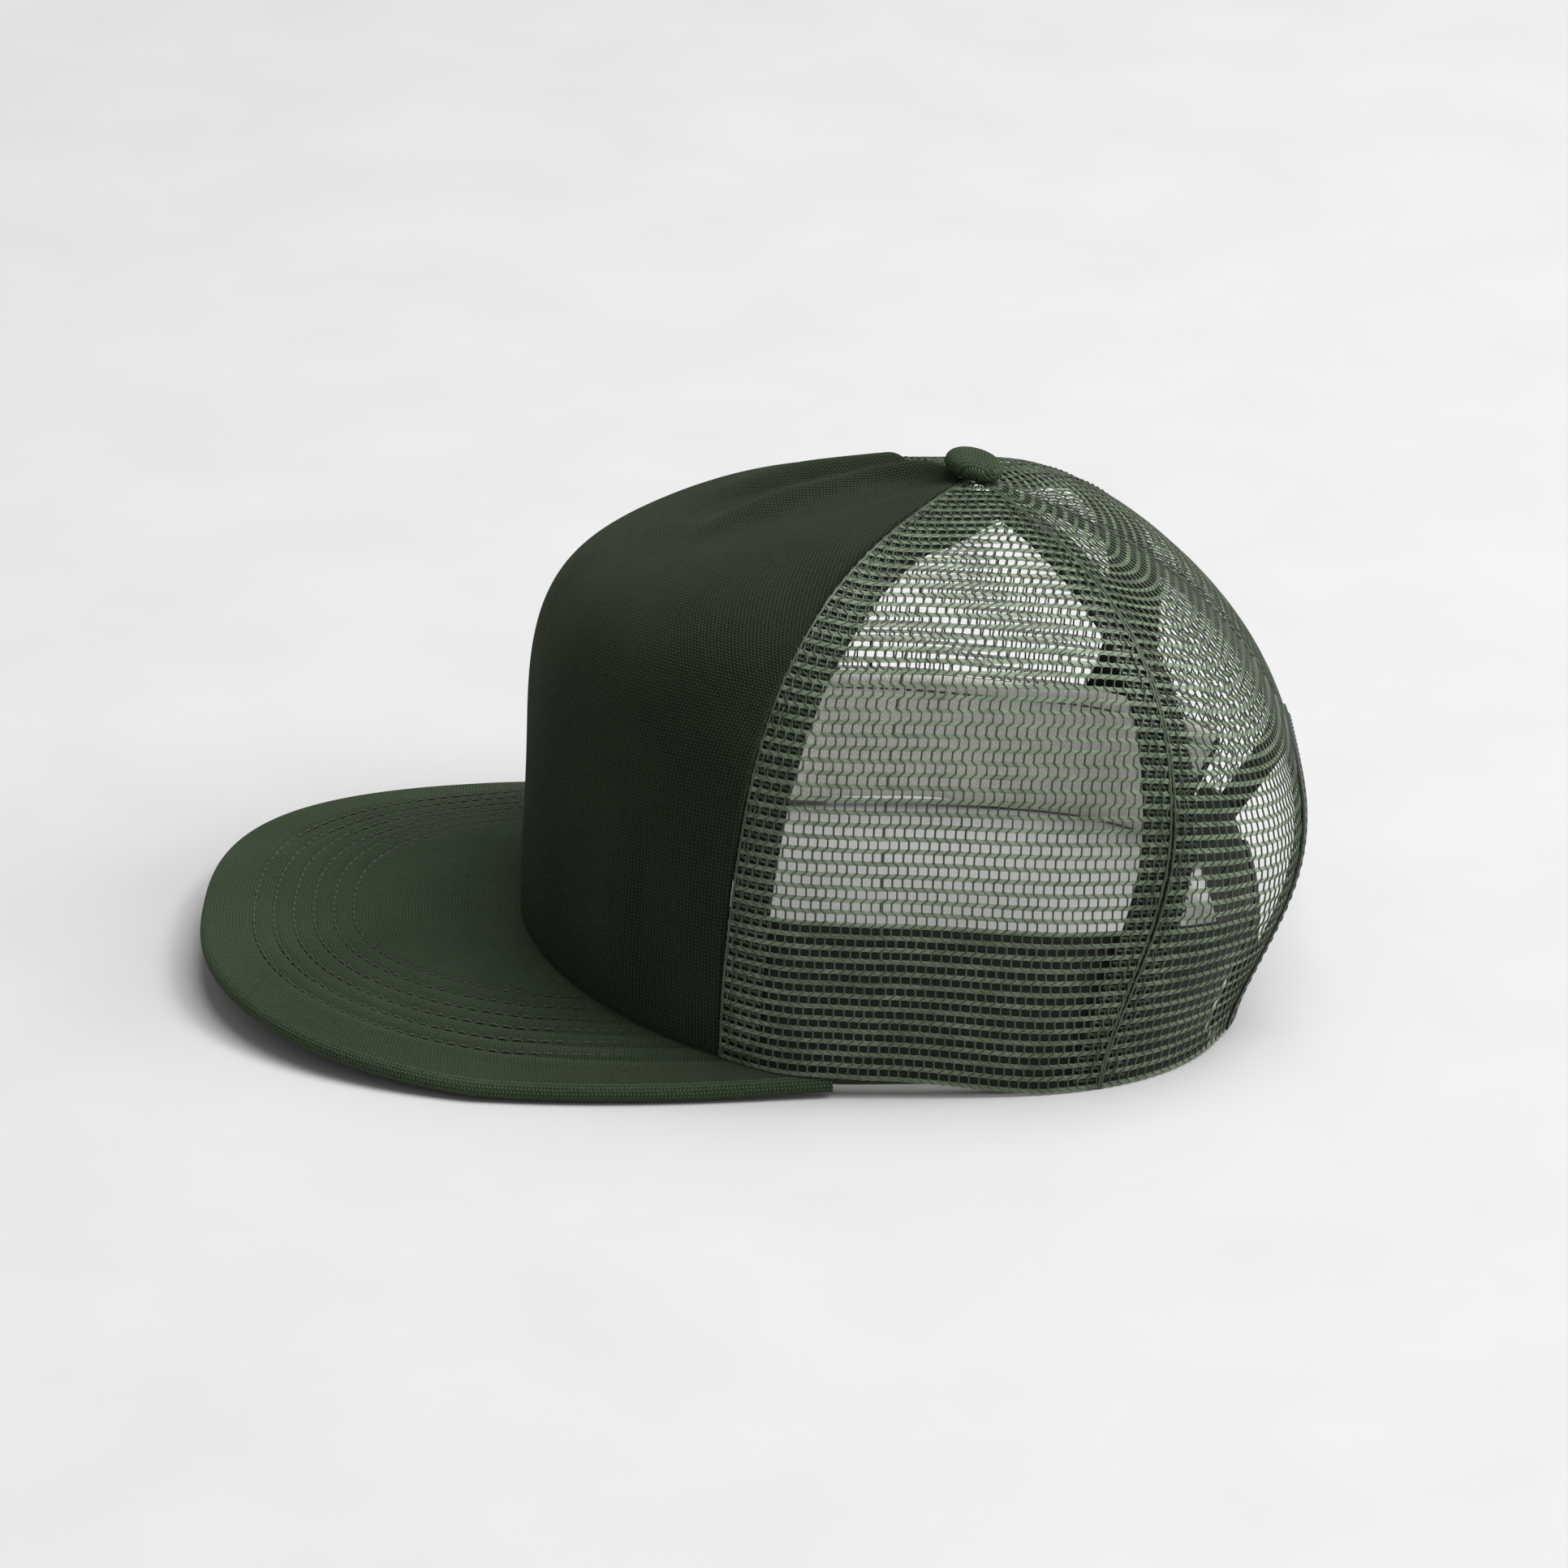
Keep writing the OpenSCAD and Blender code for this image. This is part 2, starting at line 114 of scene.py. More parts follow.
@dataclass
class Surface:
    """Closed skin of four-cornered faces, in millimetres, with its flat cloth map."""

    points: Array
    faces: Array
    cloth: Array
    finish: Array | None = None

    def outward(self) -> "Surface":
        """Turns every face round if the volume inside comes out negative.

        Returns:
            The surface itself. The volume is a sixth of the sum of the corners'
            triple products over both halves of each face.
        """
        a, b, c, d = (self.points[self.faces[:, i]] for i in range(4))
        volume = (a * (np.cross(b, c) + np.cross(c, d))).sum()
        if volume < 0:
            self.faces = self.faces[:, ::-1]
        return self

    def used_only(self) -> "Surface":
        """Drops the points that no face uses."""
        used, new = np.unique(self.faces, return_inverse=True)
        return Surface(self.points[used], new.reshape(self.faces.shape), self.cloth[used], self.finish)

    def dressed(self, number: int) -> "Surface":
        """Gives every face the finish with this number."""
        self.finish = np.full(len(self.faces), number, np.int32)
        return self

    def to_object(
        self, name: str, finishes: list[bpy.types.Material], sharp: float = 50.0
    ) -> bpy.types.Object:
        """Makes the Blender object.

        Args:
            name: Name of the piece.
            finishes: Materials, in the order of the face numbers.
            sharp: Edges bent further than this many degrees are drawn sharp.

        Returns:
            The object, linked to the scene, at the origin.
        """
        mesh = bpy.data.meshes.new(name)
        count = len(self.faces)
        mesh.vertices.add(len(self.points))
        mesh.vertices.foreach_set("co", (self.points * MM).astype(np.float32).ravel())
        mesh.loops.add(4 * count)
        mesh.loops.foreach_set("vertex_index", self.faces.astype(np.int32).ravel())
        mesh.polygons.add(count)
        mesh.polygons.foreach_set("loop_start", np.arange(0, 4 * count, 4, dtype=np.int32))
        mesh.polygons.foreach_set("use_smooth", np.ones(count, bool))
        if self.finish is not None:
            mesh.polygons.foreach_set("material_index", self.finish)
        layer = mesh.uv_layers.new(name=CLOTH_MAP)
        layer.uv.foreach_set("vector", self.cloth[self.faces].astype(np.float32).ravel())
        mesh.update(calc_edges=True)
        mesh.set_sharp_from_angle(angle=math.radians(sharp))
        for finish in finishes:
            mesh.materials.append(finish)
        piece = bpy.data.objects.new(name, mesh)
        bpy.context.scene.collection.objects.link(piece)
        LOG.info("%s: %d faces", name, count)
        return piece


def joined(parts: list[Surface]) -> Surface:
    """Puts several surfaces into one, each keeping its own finish numbers."""
    starts = np.cumsum([0] + [len(p.points) for p in parts[:-1]])
    finish = [p.finish if p.finish is not None else np.zeros(len(p.faces), np.int32) for p in parts]
    return Surface(
        np.concatenate([p.points for p in parts]),
        np.concatenate([p.faces + s for p, s in zip(parts, starts)]),
        np.concatenate([p.cloth for p in parts]),
        np.concatenate(finish),
    )


def cloth_lengths(grid: Array) -> Array:
    """Works out flat cloth coordinates for a grid of points.

    Args:
        grid: Points of shape (across, up, 3).

    Returns:
        For each point, its way along its row from the middle column and its
        way up the middle column.
    """
    along = run_length(grid, 0)
    along = along - along[len(grid) // 2]
    up = run_length(grid[len(grid) // 2], 0)
    return np.stack([along, np.broadcast_to(up, along.shape)], -1)


def shell(outer: Array, inner: Array) -> Surface:
    """Closes two matching grids into one skin.

    Args:
        outer: Points of the outer face, of shape (across, up, 3).
        inner: Points of the inner face, in the same order.

    Returns:
        The two faces joined round their four edges. The inner face has finish 1 and
        all the rest finish 0.
    """
    m, n, _ = outer.shape
    first = np.arange(m * n).reshape(m, n)
    second = first + m * n
    skin = np.stack([first[:-1, :-1], first[1:, :-1], first[1:, 1:], first[:-1, 1:]], -1).reshape(-1, 4)
    back = np.stack([second[:-1, :-1], second[:-1, 1:], second[1:, 1:], second[1:, :-1]], -1)
    back = back.reshape(-1, 4)
    walls = []
    edges = (
        (first[:, 0], second[:, 0]),
        (second[:, -1], first[:, -1]),
        (second[0], first[0]),
        (first[-1], second[-1]),
    )
    for near, far in edges:
        walls.append(np.stack([far[:-1], far[1:], near[1:], near[:-1]], -1))
    cloth = cloth_lengths(outer).reshape(-1, 2)
    points = np.concatenate([outer.reshape(-1, 3), inner.reshape(-1, 3)])
    faces = np.concatenate([skin, back, *walls])
    kinds = np.zeros(len(faces), np.int32)
    kinds[len(skin) : len(skin) + len(back)] = 1
    return Surface(points, faces, np.concatenate([cloth, cloth]), kinds).outward()


def tubes(rings: Array, cloth: Array, keep: Array | None = None) -> Surface:
    """Skins chains of rings, with a cap wherever a kept stretch starts or stops.

    Args:
        rings: Points of shape (chains, rings, corners, 3), with an even number of corners.
        cloth: The cloth coordinates of the same points.
        keep: For each step from a ring to the next, whether it is there.

    Returns:
        One closed tube for each kept stretch.
    """
    chains, count, corners, _ = rings.shape
    keep = np.ones((chains, count - 1), bool) if keep is None else keep
    at = np.arange(chains * count * corners).reshape(chains, count, corners)
    turn = np.roll(at, -1, axis=2)
    sides = np.stack([at[:, :-1], turn[:, :-1], turn[:, 1:], at[:, 1:]], -1)[keep].reshape(-1, 4)
    before = np.pad(keep, ((0, 0), (1, 0)))
    after = np.pad(keep, ((0, 0), (0, 1)))
    fan = np.array([[0, 2 * k + 1, 2 * k + 2, 2 * k + 3] for k in range((corners - 2) // 2)])
    stops = at[before & ~after][:, fan].reshape(-1, 4)
    starts = at[after & ~before][:, fan[:, ::-1]].reshape(-1, 4)
    skin = Surface(rings.reshape(-1, 3), np.concatenate([sides, stops, starts]), cloth.reshape(-1, 2))
    return skin.used_only().outward()


@dataclass(frozen=True)
class Stitching:
    """A row of lockstitches: short plump threads that dip at both ends."""

    length: float = 2.7
    gap: float = 0.75
    radius: float = 0.26
    lift: float = 0.16
    dip: float = 0.34
    sides: int = 6

    def along(self, path: Array, up: Array) -> Surface:
        """Lays the stitches on a path.

        Args:
            path: Points of the seam line.
            up: Directions out of the cloth at the same points.

        Returns:
            The stitches. Each is a tube whose middle is lifted off the cloth by
            `lift` and whose ends go under it by `dip`, thinner towards the ends.
        """
        run = run_length(path, 0)
        pitch = self.length + self.gap
        count = max(int(run[-1] / pitch), 1)
        middles = (np.arange(count) + 0.5) * run[-1] / count
        places = np.array([-0.5, -0.36, -0.12, 0.12, 0.36, 0.5])
        girth = np.array([0.45, 0.95, 1.0, 1.0, 0.95, 0.45])
        rise = np.array([-self.dip, self.lift * 0.5, self.lift, self.lift, self.lift * 0.5, -self.dip])
        at = middles[:, None] + places * self.length
        spots = np.stack([np.interp(at, run, path[:, k]) for k in range(3)], -1)
        out = unit(np.stack([np.interp(at, run, up[:, k]) for k in range(3)], -1))
        ahead = np.gradient(spots, axis=1)
        across = unit(np.cross(ahead, out))
        centre = spots + out * rise[:, None]
        angle = np.arange(self.sides) * 2 * np.pi / self.sides
        reach = self.radius * girth[:, None, None]
        rings = centre[:, :, None] + reach * (
            across[:, :, None] * np.cos(angle)[:, None] + out[:, :, None] * np.sin(angle)[:, None]
        )
        cloth = np.stack(
            [
                np.broadcast_to(at[:, :, None], rings.shape[:3]),
                np.broadcast_to(angle * self.radius, rings.shape[:3]),
            ],
            -1,
        )
        return tubes(rings, cloth)


# --- finishes ---


def add(
    tree: bpy.types.NodeTree, kind: str, inputs: dict[str | int, object] | None = None, **settings: object
) -> bpy.types.Node:
    """Adds a node with its settings and links.

    Args:
        tree: The material's node tree.
        kind: The node's type, without the ShaderNode in front.
        inputs: For each input, by name or number, a value, the output to link, or a
            node whose first output is linked.
        settings: The node's own properties.

    Returns:
        The new node.
    """
    made = tree.nodes.new("ShaderNode" + kind)
    for key, value in settings.items():
        setattr(made, key, value)
    for key, value in (inputs or {}).items():
        source = value.outputs[0] if isinstance(value, bpy.types.Node) else value
        if isinstance(source, bpy.types.NodeSocket):
            tree.links.new(source, made.inputs[key])
        else:
            made.inputs[key].default_value = source
    return made


def new_material(name: str) -> tuple[bpy.types.Material, bpy.types.NodeTree]:
    """Returns a new material of this name and its emptied node tree."""
    material = bpy.data.materials.new(name)
    material.use_nodes = True
    material.node_tree.nodes.clear()
    return material, material.node_tree


def cloth_place(
    tree: bpy.types.NodeTree, scale: tuple[float, float], turn: float = 0.0
) -> bpy.types.Node:
    """Returns cloth coordinates in repeats, from millimetres a repeat, turned by some degrees."""
    place = add(tree, "UVMap", uv_map=CLOTH_MAP)
    turned = add(tree, "Mapping", {"Vector": place, "Rotation": (0.0, 0.0, math.radians(turn))})
    return add(tree, "Mapping", {"Vector": turned, "Scale": (1 / scale[0], 1 / scale[1], 1.0)})


def blotches(tree: bpy.types.NodeTree, size_mm: float, detail: float = 3.0) -> bpy.types.NodeSocket:
    """Returns noise on Object coordinates whose patches are about size_mm across."""
    place = add(tree, "TexCoord").outputs["Object"]
    scale = 1 / (size_mm * MM)
    return add(tree, "TexNoise", {"Vector": place, "Scale": scale, "Detail": detail}).outputs["Fac"]


def shade(
    tree: bpy.types.NodeTree, share: object, dark: str, light: str, low: float = 0.3, high: float = 0.7
) -> bpy.types.Node:
    """Returns a colour between two hex colours as share goes from low to high."""
    ramp = add(tree, "ValToRGB", {"Fac": share})
    for stop, position, colour in zip(ramp.color_ramp.elements, (low, high), (dark, light)):
        stop.position = position
        stop.color = linear(colour)
    return ramp


@dataclass(frozen=True)
class BrushedKnit:
    """Polyester interlock knit, dyed bottle green: matt, with fine loops and a short nap.

    The real loops stand 0.7 mm apart; they are drawn a little coarser, so that they
    show. The nap catches light at a flat angle, so the cloth is dark face on and
    greyer where it turns away.
    """

    name: str
    # These defaults are the crown's copy: the bottle-green dye, darkened further as painted shade.
    dark: str = "#10150E"
    light: str = "#303A2B"
    nap_colour: str = "#A3B192"
    wale_mm: float = 0.95
    course_mm: float = 0.85
    loop_depth_mm: float = 0.32
    nap_mm: float = 0.9
    blotch_mm: float = 26.0
    column_lean: float = 0.8
    nap_height: float = 0.7
    # The loop and nap weights below darken the colour in the knit's hollows as painted shade; the blotch
    # weight is real tone.
    loop_painted_shade: float = 0.6
    blotch_tone: float = 0.3
    nap_painted_shade: float = 0.35

    def build(self) -> bpy.types.Material:
        """Makes the material.

        Returns:
            Loops are the product of two sine waves in cloth coordinates, the odd
            columns half a loop higher, roughened by noise.
        """
        material, tree = new_material(self.name)
        place = add(tree, "SeparateXYZ", {0: cloth_place(tree, (self.wale_mm, self.course_mm))})
        half_waves = add(tree, "Math", {0: place.outputs[0], 1: math.pi}, operation="MULTIPLY")
        column = add(tree, "Math", {0: half_waves}, operation="SINE")
        column = add(tree, "Math", {0: column}, operation="ABSOLUTE")
        lean = add(tree, "Math", {0: column, 1: self.column_lean}, operation="MULTIPLY")
        course = add(tree, "Math", {0: place.outputs[1], 1: lean}, operation="ADD")
        waves = add(tree, "Math", {0: course, 1: FULL_TURN}, operation="MULTIPLY")
        row = add(tree, "Math", {0: waves}, operation="SINE")
        row = add(tree, "Math", {0: row, 1: 0.5, 2: 0.5}, operation="MULTIPLY_ADD")
        loops = add(tree, "Math", {0: column, 1: row}, operation="MULTIPLY")
        nap = blotches(tree, self.nap_mm)
        height = add(tree, "Math", {0: nap, 1: self.nap_height, 2: loops}, operation="MULTIPLY_ADD")
        wide = blotches(tree, self.blotch_mm, 2.0)
        # The colour is darker where the loops and the nap are low, as the bump is: painted shade between
        # the loops, on top of real blotchy tone.
        tone_with_painted_shade = add(tree, "Math", {0: loops, 1: self.loop_painted_shade}, operation="MULTIPLY")
        tone_with_painted_shade = add(tree, "Math", {0: wide, 1: self.blotch_tone, 2: tone_with_painted_shade}, operation="MULTIPLY_ADD")
        tone_with_painted_shade = add(tree, "Math", {0: nap, 1: self.nap_painted_shade, 2: tone_with_painted_shade}, operation="MULTIPLY_ADD")
        bump = add(tree, "Bump", {"Height": height, "Distance": self.loop_depth_mm * MM, "Strength": 1.0})
        shader = add(
            tree,
            "BsdfPrincipled",
            {
                "Base Color": shade(tree, tone_with_painted_shade, self.dark, self.light, 0.3, 0.8),
                "Roughness": add(tree, "Math", {0: nap, 1: 0.12, 2: 0.82}, operation="MULTIPLY_ADD"),
                "Specular IOR Level": 0.08,
                "Sheen Weight": 0.2,
                "Sheen Roughness": 0.32,
                "Sheen Tint": linear(self.nap_colour),
                "Normal": bump,
            },
        )
        add(tree, "OutputMaterial", {0: shader})
        return material


@dataclass(frozen=True)
class MeshYarn:
    """Warp-knitted polyester filament, heat set: smooth, half clear, with bright streaks.

    Light comes through the flat ribbons as well as off them, and the filaments in
    them lie side by side, so their gloss runs in fine lines.
    """

    name: str
    dark: str = "#74886A"
    light: str = "#B8C9AA"
    strand_mm: float = 0.34
    strand_length_mm: float = 7.0
    strand_depth_mm: float = 0.07
    blotch_mm: float = 9.0
    blotch_tone: float = 0.45
    strand_painted_sheen: float = 0.55
    glow: float = 0.5
    clear: float = 0.4

    def build(self) -> bpy.types.Material:
        """Makes the material.

        Returns:
            Streaks are noise drawn out along the rows of the cloth map. A share of
            the light is scattered through by a Translucent shader, and a share passes
            straight through by a Transparent one.
        """
        material, tree = new_material(self.name)
        place = cloth_place(tree, (self.strand_length_mm, self.strand_mm))
        streaks = add(tree, "TexNoise", {"Vector": place, "Scale": 1.0, "Detail": 2.0}).outputs["Fac"]
        wide = blotches(tree, self.blotch_mm, 2.0)
        # The colour is lighter on the filaments' crests, where the bump is high: painted sheen in fine
        # lines; the wide blotches are real tone.
        tone_with_painted_shade = add(tree, "Math", {0: streaks, 1: self.strand_painted_sheen}, operation="MULTIPLY")
        tone_with_painted_shade = add(tree, "Math", {0: wide, 1: self.blotch_tone, 2: tone_with_painted_shade}, operation="MULTIPLY_ADD")
        colour = shade(tree, tone_with_painted_shade, self.dark, self.light, 0.32, 0.66)
        depth = self.strand_depth_mm * MM
        bump = add(tree, "Bump", {"Height": streaks, "Distance": depth, "Strength": 1.0})
        yarn = add(
            tree,
            "BsdfPrincipled",
            {
                "Base Color": colour,
                "Roughness": add(tree, "Math", {0: streaks, 1: 0.25, 2: 0.24}, operation="MULTIPLY_ADD"),
                "Specular IOR Level": 0.6,
                "Anisotropic": 0.3,
                "Normal": bump,
            },
        )
        through = add(tree, "BsdfTranslucent", {"Color": colour, "Normal": bump})
        yarn = add(tree, "MixShader", {0: self.glow, 1: yarn, 2: through})
        if self.clear > 0:
            yarn = add(tree, "MixShader", {0: self.clear, 1: yarn, 2: add(tree, "BsdfTransparent")})
        add(tree, "OutputMaterial", {0: yarn})
        return material


@dataclass(frozen=True)
class WovenCloth:
    """Woven cotton or polyester, in plain or twill weave: matt, with crossing threads."""

    name: str
    dark: str
    light: str
    thread_mm: float = 0.55
    lean: float = 45.0
    depth_mm: float = 0.09
    sheen: float = 0.15
    fuzz_mm: float = 1.3
    rib_height: float = 0.32
    cross_height: float = 0.14
    fuzz_share: float = 0.4
    weave_painted_shade: float = 0.6

    def build(self) -> bpy.types.Material:
        """Makes the material.

        Returns:
            Each thread is a sine wave across one direction of the cloth map; the two
            directions are added, the first one stronger, which leaves diagonal ribs.
        """
        material, tree = new_material(self.name)
        place = cloth_place(tree, (self.thread_mm, self.thread_mm), self.lean)
        place = add(tree, "SeparateXYZ", {0: place})
        weave: object = 0.5
        waves = ((0, FULL_TURN, self.rib_height), (1, math.pi, self.cross_height))
        for axis, frequency, high in waves:
            along = add(tree, "Math", {0: place.outputs[axis], 1: frequency}, operation="MULTIPLY")
            threads = add(tree, "Math", {0: along}, operation="SINE")
            weave = add(tree, "Math", {0: threads, 1: high, 2: weave}, operation="MULTIPLY_ADD")
        fuzz = blotches(tree, self.fuzz_mm)
        # The colour follows the height that the bump uses, darker in the weave's hollows: painted shade
        # between the threads.
        tone_with_painted_shade = add(tree, "Math", {0: weave, 1: self.weave_painted_shade}, operation="MULTIPLY")
        tone_with_painted_shade = add(tree, "Math", {0: fuzz, 1: self.fuzz_share, 2: tone_with_painted_shade}, operation="MULTIPLY_ADD")
        height = add(tree, "Math", {0: fuzz, 1: self.fuzz_share, 2: weave}, operation="MULTIPLY_ADD")
        bump = add(tree, "Bump", {"Height": height, "Distance": self.depth_mm * MM, "Strength": 1.0})
        shader = add(
            tree,
            "BsdfPrincipled",
            {
                "Base Color": shade(tree, tone_with_painted_shade, self.dark, self.light, 0.2, 0.8),
                "Roughness": add(tree, "Math", {0: fuzz, 1: 0.15, 2: 0.75}, operation="MULTIPLY_ADD"),
                "Specular IOR Level": 0.3,
                "Sheen Weight": self.sheen,
                "Normal": bump,
            },
        )
        add(tree, "OutputMaterial", {0: shader})
        return material


@dataclass(frozen=True)
class SewingThread:
    """Spun polyester sewing thread, twisted from two plies: a soft shine in slanting bands."""

    name: str
    dark: str = "#24261A"
    light: str = "#403F2D"
    ply_mm: float = 0.55
    ply_slant: float = 55.0
    ply_depth_mm: float = 0.06
    fuzz_mm: float = 2.2

    def build(self) -> bpy.types.Material:
        """Makes the material, with bands slanting across the thread for its plies."""
        material, tree = new_material(self.name)
        place = cloth_place(tree, (self.ply_mm, self.ply_mm), self.ply_slant)
        plies = add(tree, "TexWave", {"Vector": place, "Scale": 1.0, "Distortion": 0.6}).outputs["Fac"]
        fuzz = blotches(tree, self.fuzz_mm)
        # The colour is lighter on the plies' crests, where the bump is high: painted shine in slanting
        # bands, with real fuzz tone.
        tone_with_painted_shade = add(tree, "Math", {0: plies, 1: 0.5}, operation="MULTIPLY")
        tone_with_painted_shade = add(tree, "Math", {0: fuzz, 1: 0.5, 2: tone_with_painted_shade}, operation="MULTIPLY_ADD")
        bump = add(tree, "Bump", {"Height": plies, "Distance": self.ply_depth_mm * MM, "Strength": 1.0})
        shader = add(
            tree,
            "BsdfPrincipled",
            {
                "Base Color": shade(tree, tone_with_painted_shade, self.dark, self.light),
                "Roughness": add(tree, "Math", {0: plies, 1: 0.2, 2: 0.45}, operation="MULTIPLY_ADD"),
                "Sheen Weight": 0.2,
                "Normal": bump,
            },
        )
        add(tree, "OutputMaterial", {0: shader})
        return material


@dataclass(frozen=True)
class CastFoam:
    """Open-cell polyurethane foam with a knitted scrim: off white, dull, full of pores."""

    name: str
    dark: str = "#CFCCBF"
    light: str = "#EDEBE2"
    cell_mm: float = 0.8
    pore_depth_mm: float = 0.18
    blotch_mm: float = 14.0

    def build(self) -> bpy.types.Material:
        """Makes the material, with pores where a Voronoi cell's distance is small; the colour is painted
        darker in the pores, as painted shade.
        """
        material, tree = new_material(self.name)
        place = add(tree, "TexCoord").outputs["Object"]
        scale = 1 / (self.cell_mm * MM)
        cells = add(tree, "TexVoronoi", {"Vector": place, "Scale": scale}).outputs["Distance"]
        wide = blotches(tree, self.blotch_mm)
        # Low cell distance darkens the colour where the bump sinks: painted shade in the pores.
        tone_with_painted_shade = add(tree, "Math", {0: cells, 1: 0.6}, operation="MULTIPLY")
        tone_with_painted_shade = add(tree, "Math", {0: wide, 1: 0.5, 2: tone_with_painted_shade}, operation="MULTIPLY_ADD")
        bump = add(tree, "Bump", {"Height": cells, "Distance": self.pore_depth_mm * MM, "Strength": 1.0})
        shader = add(
            tree,
            "BsdfPrincipled",
            {
                "Base Color": shade(tree, tone_with_painted_shade, self.dark, self.light, 0.2, 0.75),
                "Roughness": add(tree, "Math", {0: wide, 1: 0.1, 2: 0.86}, operation="MULTIPLY_ADD"),
                "Specular IOR Level": 0.2,
                "Sheen Weight": 0.1,
                "Normal": bump,
            },
        )
        add(tree, "OutputMaterial", {0: shader})
        return material


@dataclass(frozen=True)
class MouldedPlastic:
    """Injection-moulded polyethylene, spark-textured tool: waxy, with a fine even grain."""

    name: str
    dark: str = "#1B231C"
    light: str = "#252F26"
    grain_mm: float = 0.45
    grain_depth_mm: float = 0.03
    rub_mm: float = 11.0
    gloss: float = 0.38

    def build(self) -> bpy.types.Material:
        """Makes the material, with tool grain as bump and handling rubs as smoother patches."""
        material, tree = new_material(self.name)
        grain = blotches(tree, self.grain_mm, 4.0)
        rubs = blotches(tree, self.rub_mm, 4.0)
        bump = add(tree, "Bump", {"Height": grain, "Distance": self.grain_depth_mm * MM, "Strength": 1.0})
        shader = add(
            tree,
            "BsdfPrincipled",
            {
                "Base Color": shade(tree, rubs, self.dark, self.light),
                "Roughness": add(tree, "Math", {0: rubs, 1: 0.22, 2: self.gloss}, operation="MULTIPLY_ADD"),
                "IOR": 1.51,
                "Coat Weight": 0.1,
                "Coat Roughness": 0.4,
                "Normal": bump,
            },
        )
        add(tree, "OutputMaterial", {0: shader})
        return material


@dataclass(frozen=True)
class PlatedSteel:
    """Stamped steel with a nickel plate: bright, with drawing lines and a few dull spots."""

    name: str
    dark: str = "#8E8E8A"
    light: str = "#C9C8C2"
    spot_mm: float = 1.8
    spot_depth_mm: float = 0.02

    def build(self) -> bpy.types.Material:
        """Makes the material, with uneven plating in colour and roughness."""
        material, tree = new_material(self.name)
        spots = blotches(tree, self.spot_mm, 5.0)
        bump = add(tree, "Bump", {"Height": spots, "Distance": self.spot_depth_mm * MM, "Strength": 1.0})
        shader = add(
            tree,
            "BsdfPrincipled",
            {
                "Base Color": shade(tree, spots, self.dark, self.light),
                "Metallic": 1.0,
                "Roughness": add(tree, "Math", {0: spots, 1: 0.3, 2: 0.18}, operation="MULTIPLY_ADD"),
                "Normal": bump,
            },
        )
        add(tree, "OutputMaterial", {0: shader})
        return material


@dataclass(frozen=True)
class PaperSweep:
    """Matt white studio paper, as unrolled: pale, with a hardly seen tooth."""

    name: str
    dark: str = "#C4C4C4"
    light: str = "#C8C8C8"
    tooth_mm: float = 60.0

    def build(self) -> bpy.types.Material:
        """Makes the material, with paper tooth as faint noise."""
        material, tree = new_material(self.name)
        tooth = blotches(tree, self.tooth_mm, 4.0)
        colour = shade(tree, tooth, self.dark, self.light)
        matt = {"Base Color": colour, "Roughness": 0.9, "Specular IOR Level": 0.1}
        shader = add(tree, "BsdfPrincipled", matt)
        add(tree, "OutputMaterial", {0: shader})
        return material


class Finish(Enum):
    """The finishes of the cap, each with the material it is made from."""

    # One knit in three colours: the crown's copy is darker as painted shade on the front wall that faces
    # away from the lamps; the bill's and the button's copies are lighter as painted light on the top.
    CROWN = BrushedKnit("crown_brushed_knit_painted_shade")
    BILL_PAINTED_LIGHT = BrushedKnit("bill_brushed_knit_painted_light", dark="#242F20", light="#4F5D48", blotch_mm=40.0)
    BUTTON_PAINTED_LIGHT = BrushedKnit("button_brushed_knit_painted_light", dark="#212B1D", light="#4A5743", blotch_mm=6.0)
    LINING = WovenCloth("bill_lining_twill", "#242B22", "#363F31", thread_mm=0.7)
    RIBBON = MeshYarn("laid_in_filament_ribbon")
    CHAIN = MeshYarn("knitted_filament_chain", "#222B1C", "#4C5942", 0.2, 1.4, glow=0.1, clear=0.0)
    TAPE = WovenCloth("seam_tape_twill", "#0E120E", "#1D231C", thread_mm=0.8)
    BINDING = WovenCloth("binding_twill", "#1A201A", "#2C342A", thread_mm=0.8)
    BAND_OUT = WovenCloth("sweatband_backing", "#161B16", "#272E25", thread_mm=0.6, lean=0.0)
    BAND_IN = WovenCloth("sweatband_cotton_twill", "#E4E3DC", "#F8F7F2", thread_mm=0.8)
    FOAM = CastFoam("cast_foam")
    THREAD = SewingThread("olive_sewing_thread")
    DARK_THREAD = SewingThread("dark_sewing_thread", dark="#1C221B", light="#363E33")
    STRAP = MouldedPlastic("moulded_polyethylene")
    BOARD = MouldedPlastic("bill_board_polyethylene", dark="#B8B8B2", light="#CDCDC8", gloss=0.5)
    RIVET = PlatedSteel("nickel_plated_steel")
    PAPER = PaperSweep("studio_paper")


class Wardrobe:
    """Makes each finish once and hands out its material."""

    def __init__(self) -> None:
        """Starts with nothing made."""
        self.made: dict[Finish, bpy.types.Material] = {}

    def __getitem__(self, finish: Finish) -> bpy.types.Material:
        """Returns the finish's material, made at its first use."""
        if finish not in self.made:
            self.made[finish] = finish.value.build()
        return self.made[finish]

    def dress(self, node: str, finish: Finish) -> None:
        """Gives a CAD node the finish in place of its plain one.

        Args:
            node: Name of the CAD node.
            finish: What it is made of.
        """
        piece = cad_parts[node]
        for slot in piece.material_slots:
            slot.material = self[finish]
        if not piece.material_slots:
            piece.data.materials.append(self[finish])
        LOG.info("%s: %s", node, self[finish].name)


def settle(piece: bpy.types.Object, slot: str, *nodes: str) -> bpy.types.Object:
    """Rides a piece on the crown and hides the CAD nodes it stands for."""
    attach(piece, BODY)
    if nodes:
        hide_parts(*nodes)
    return piece


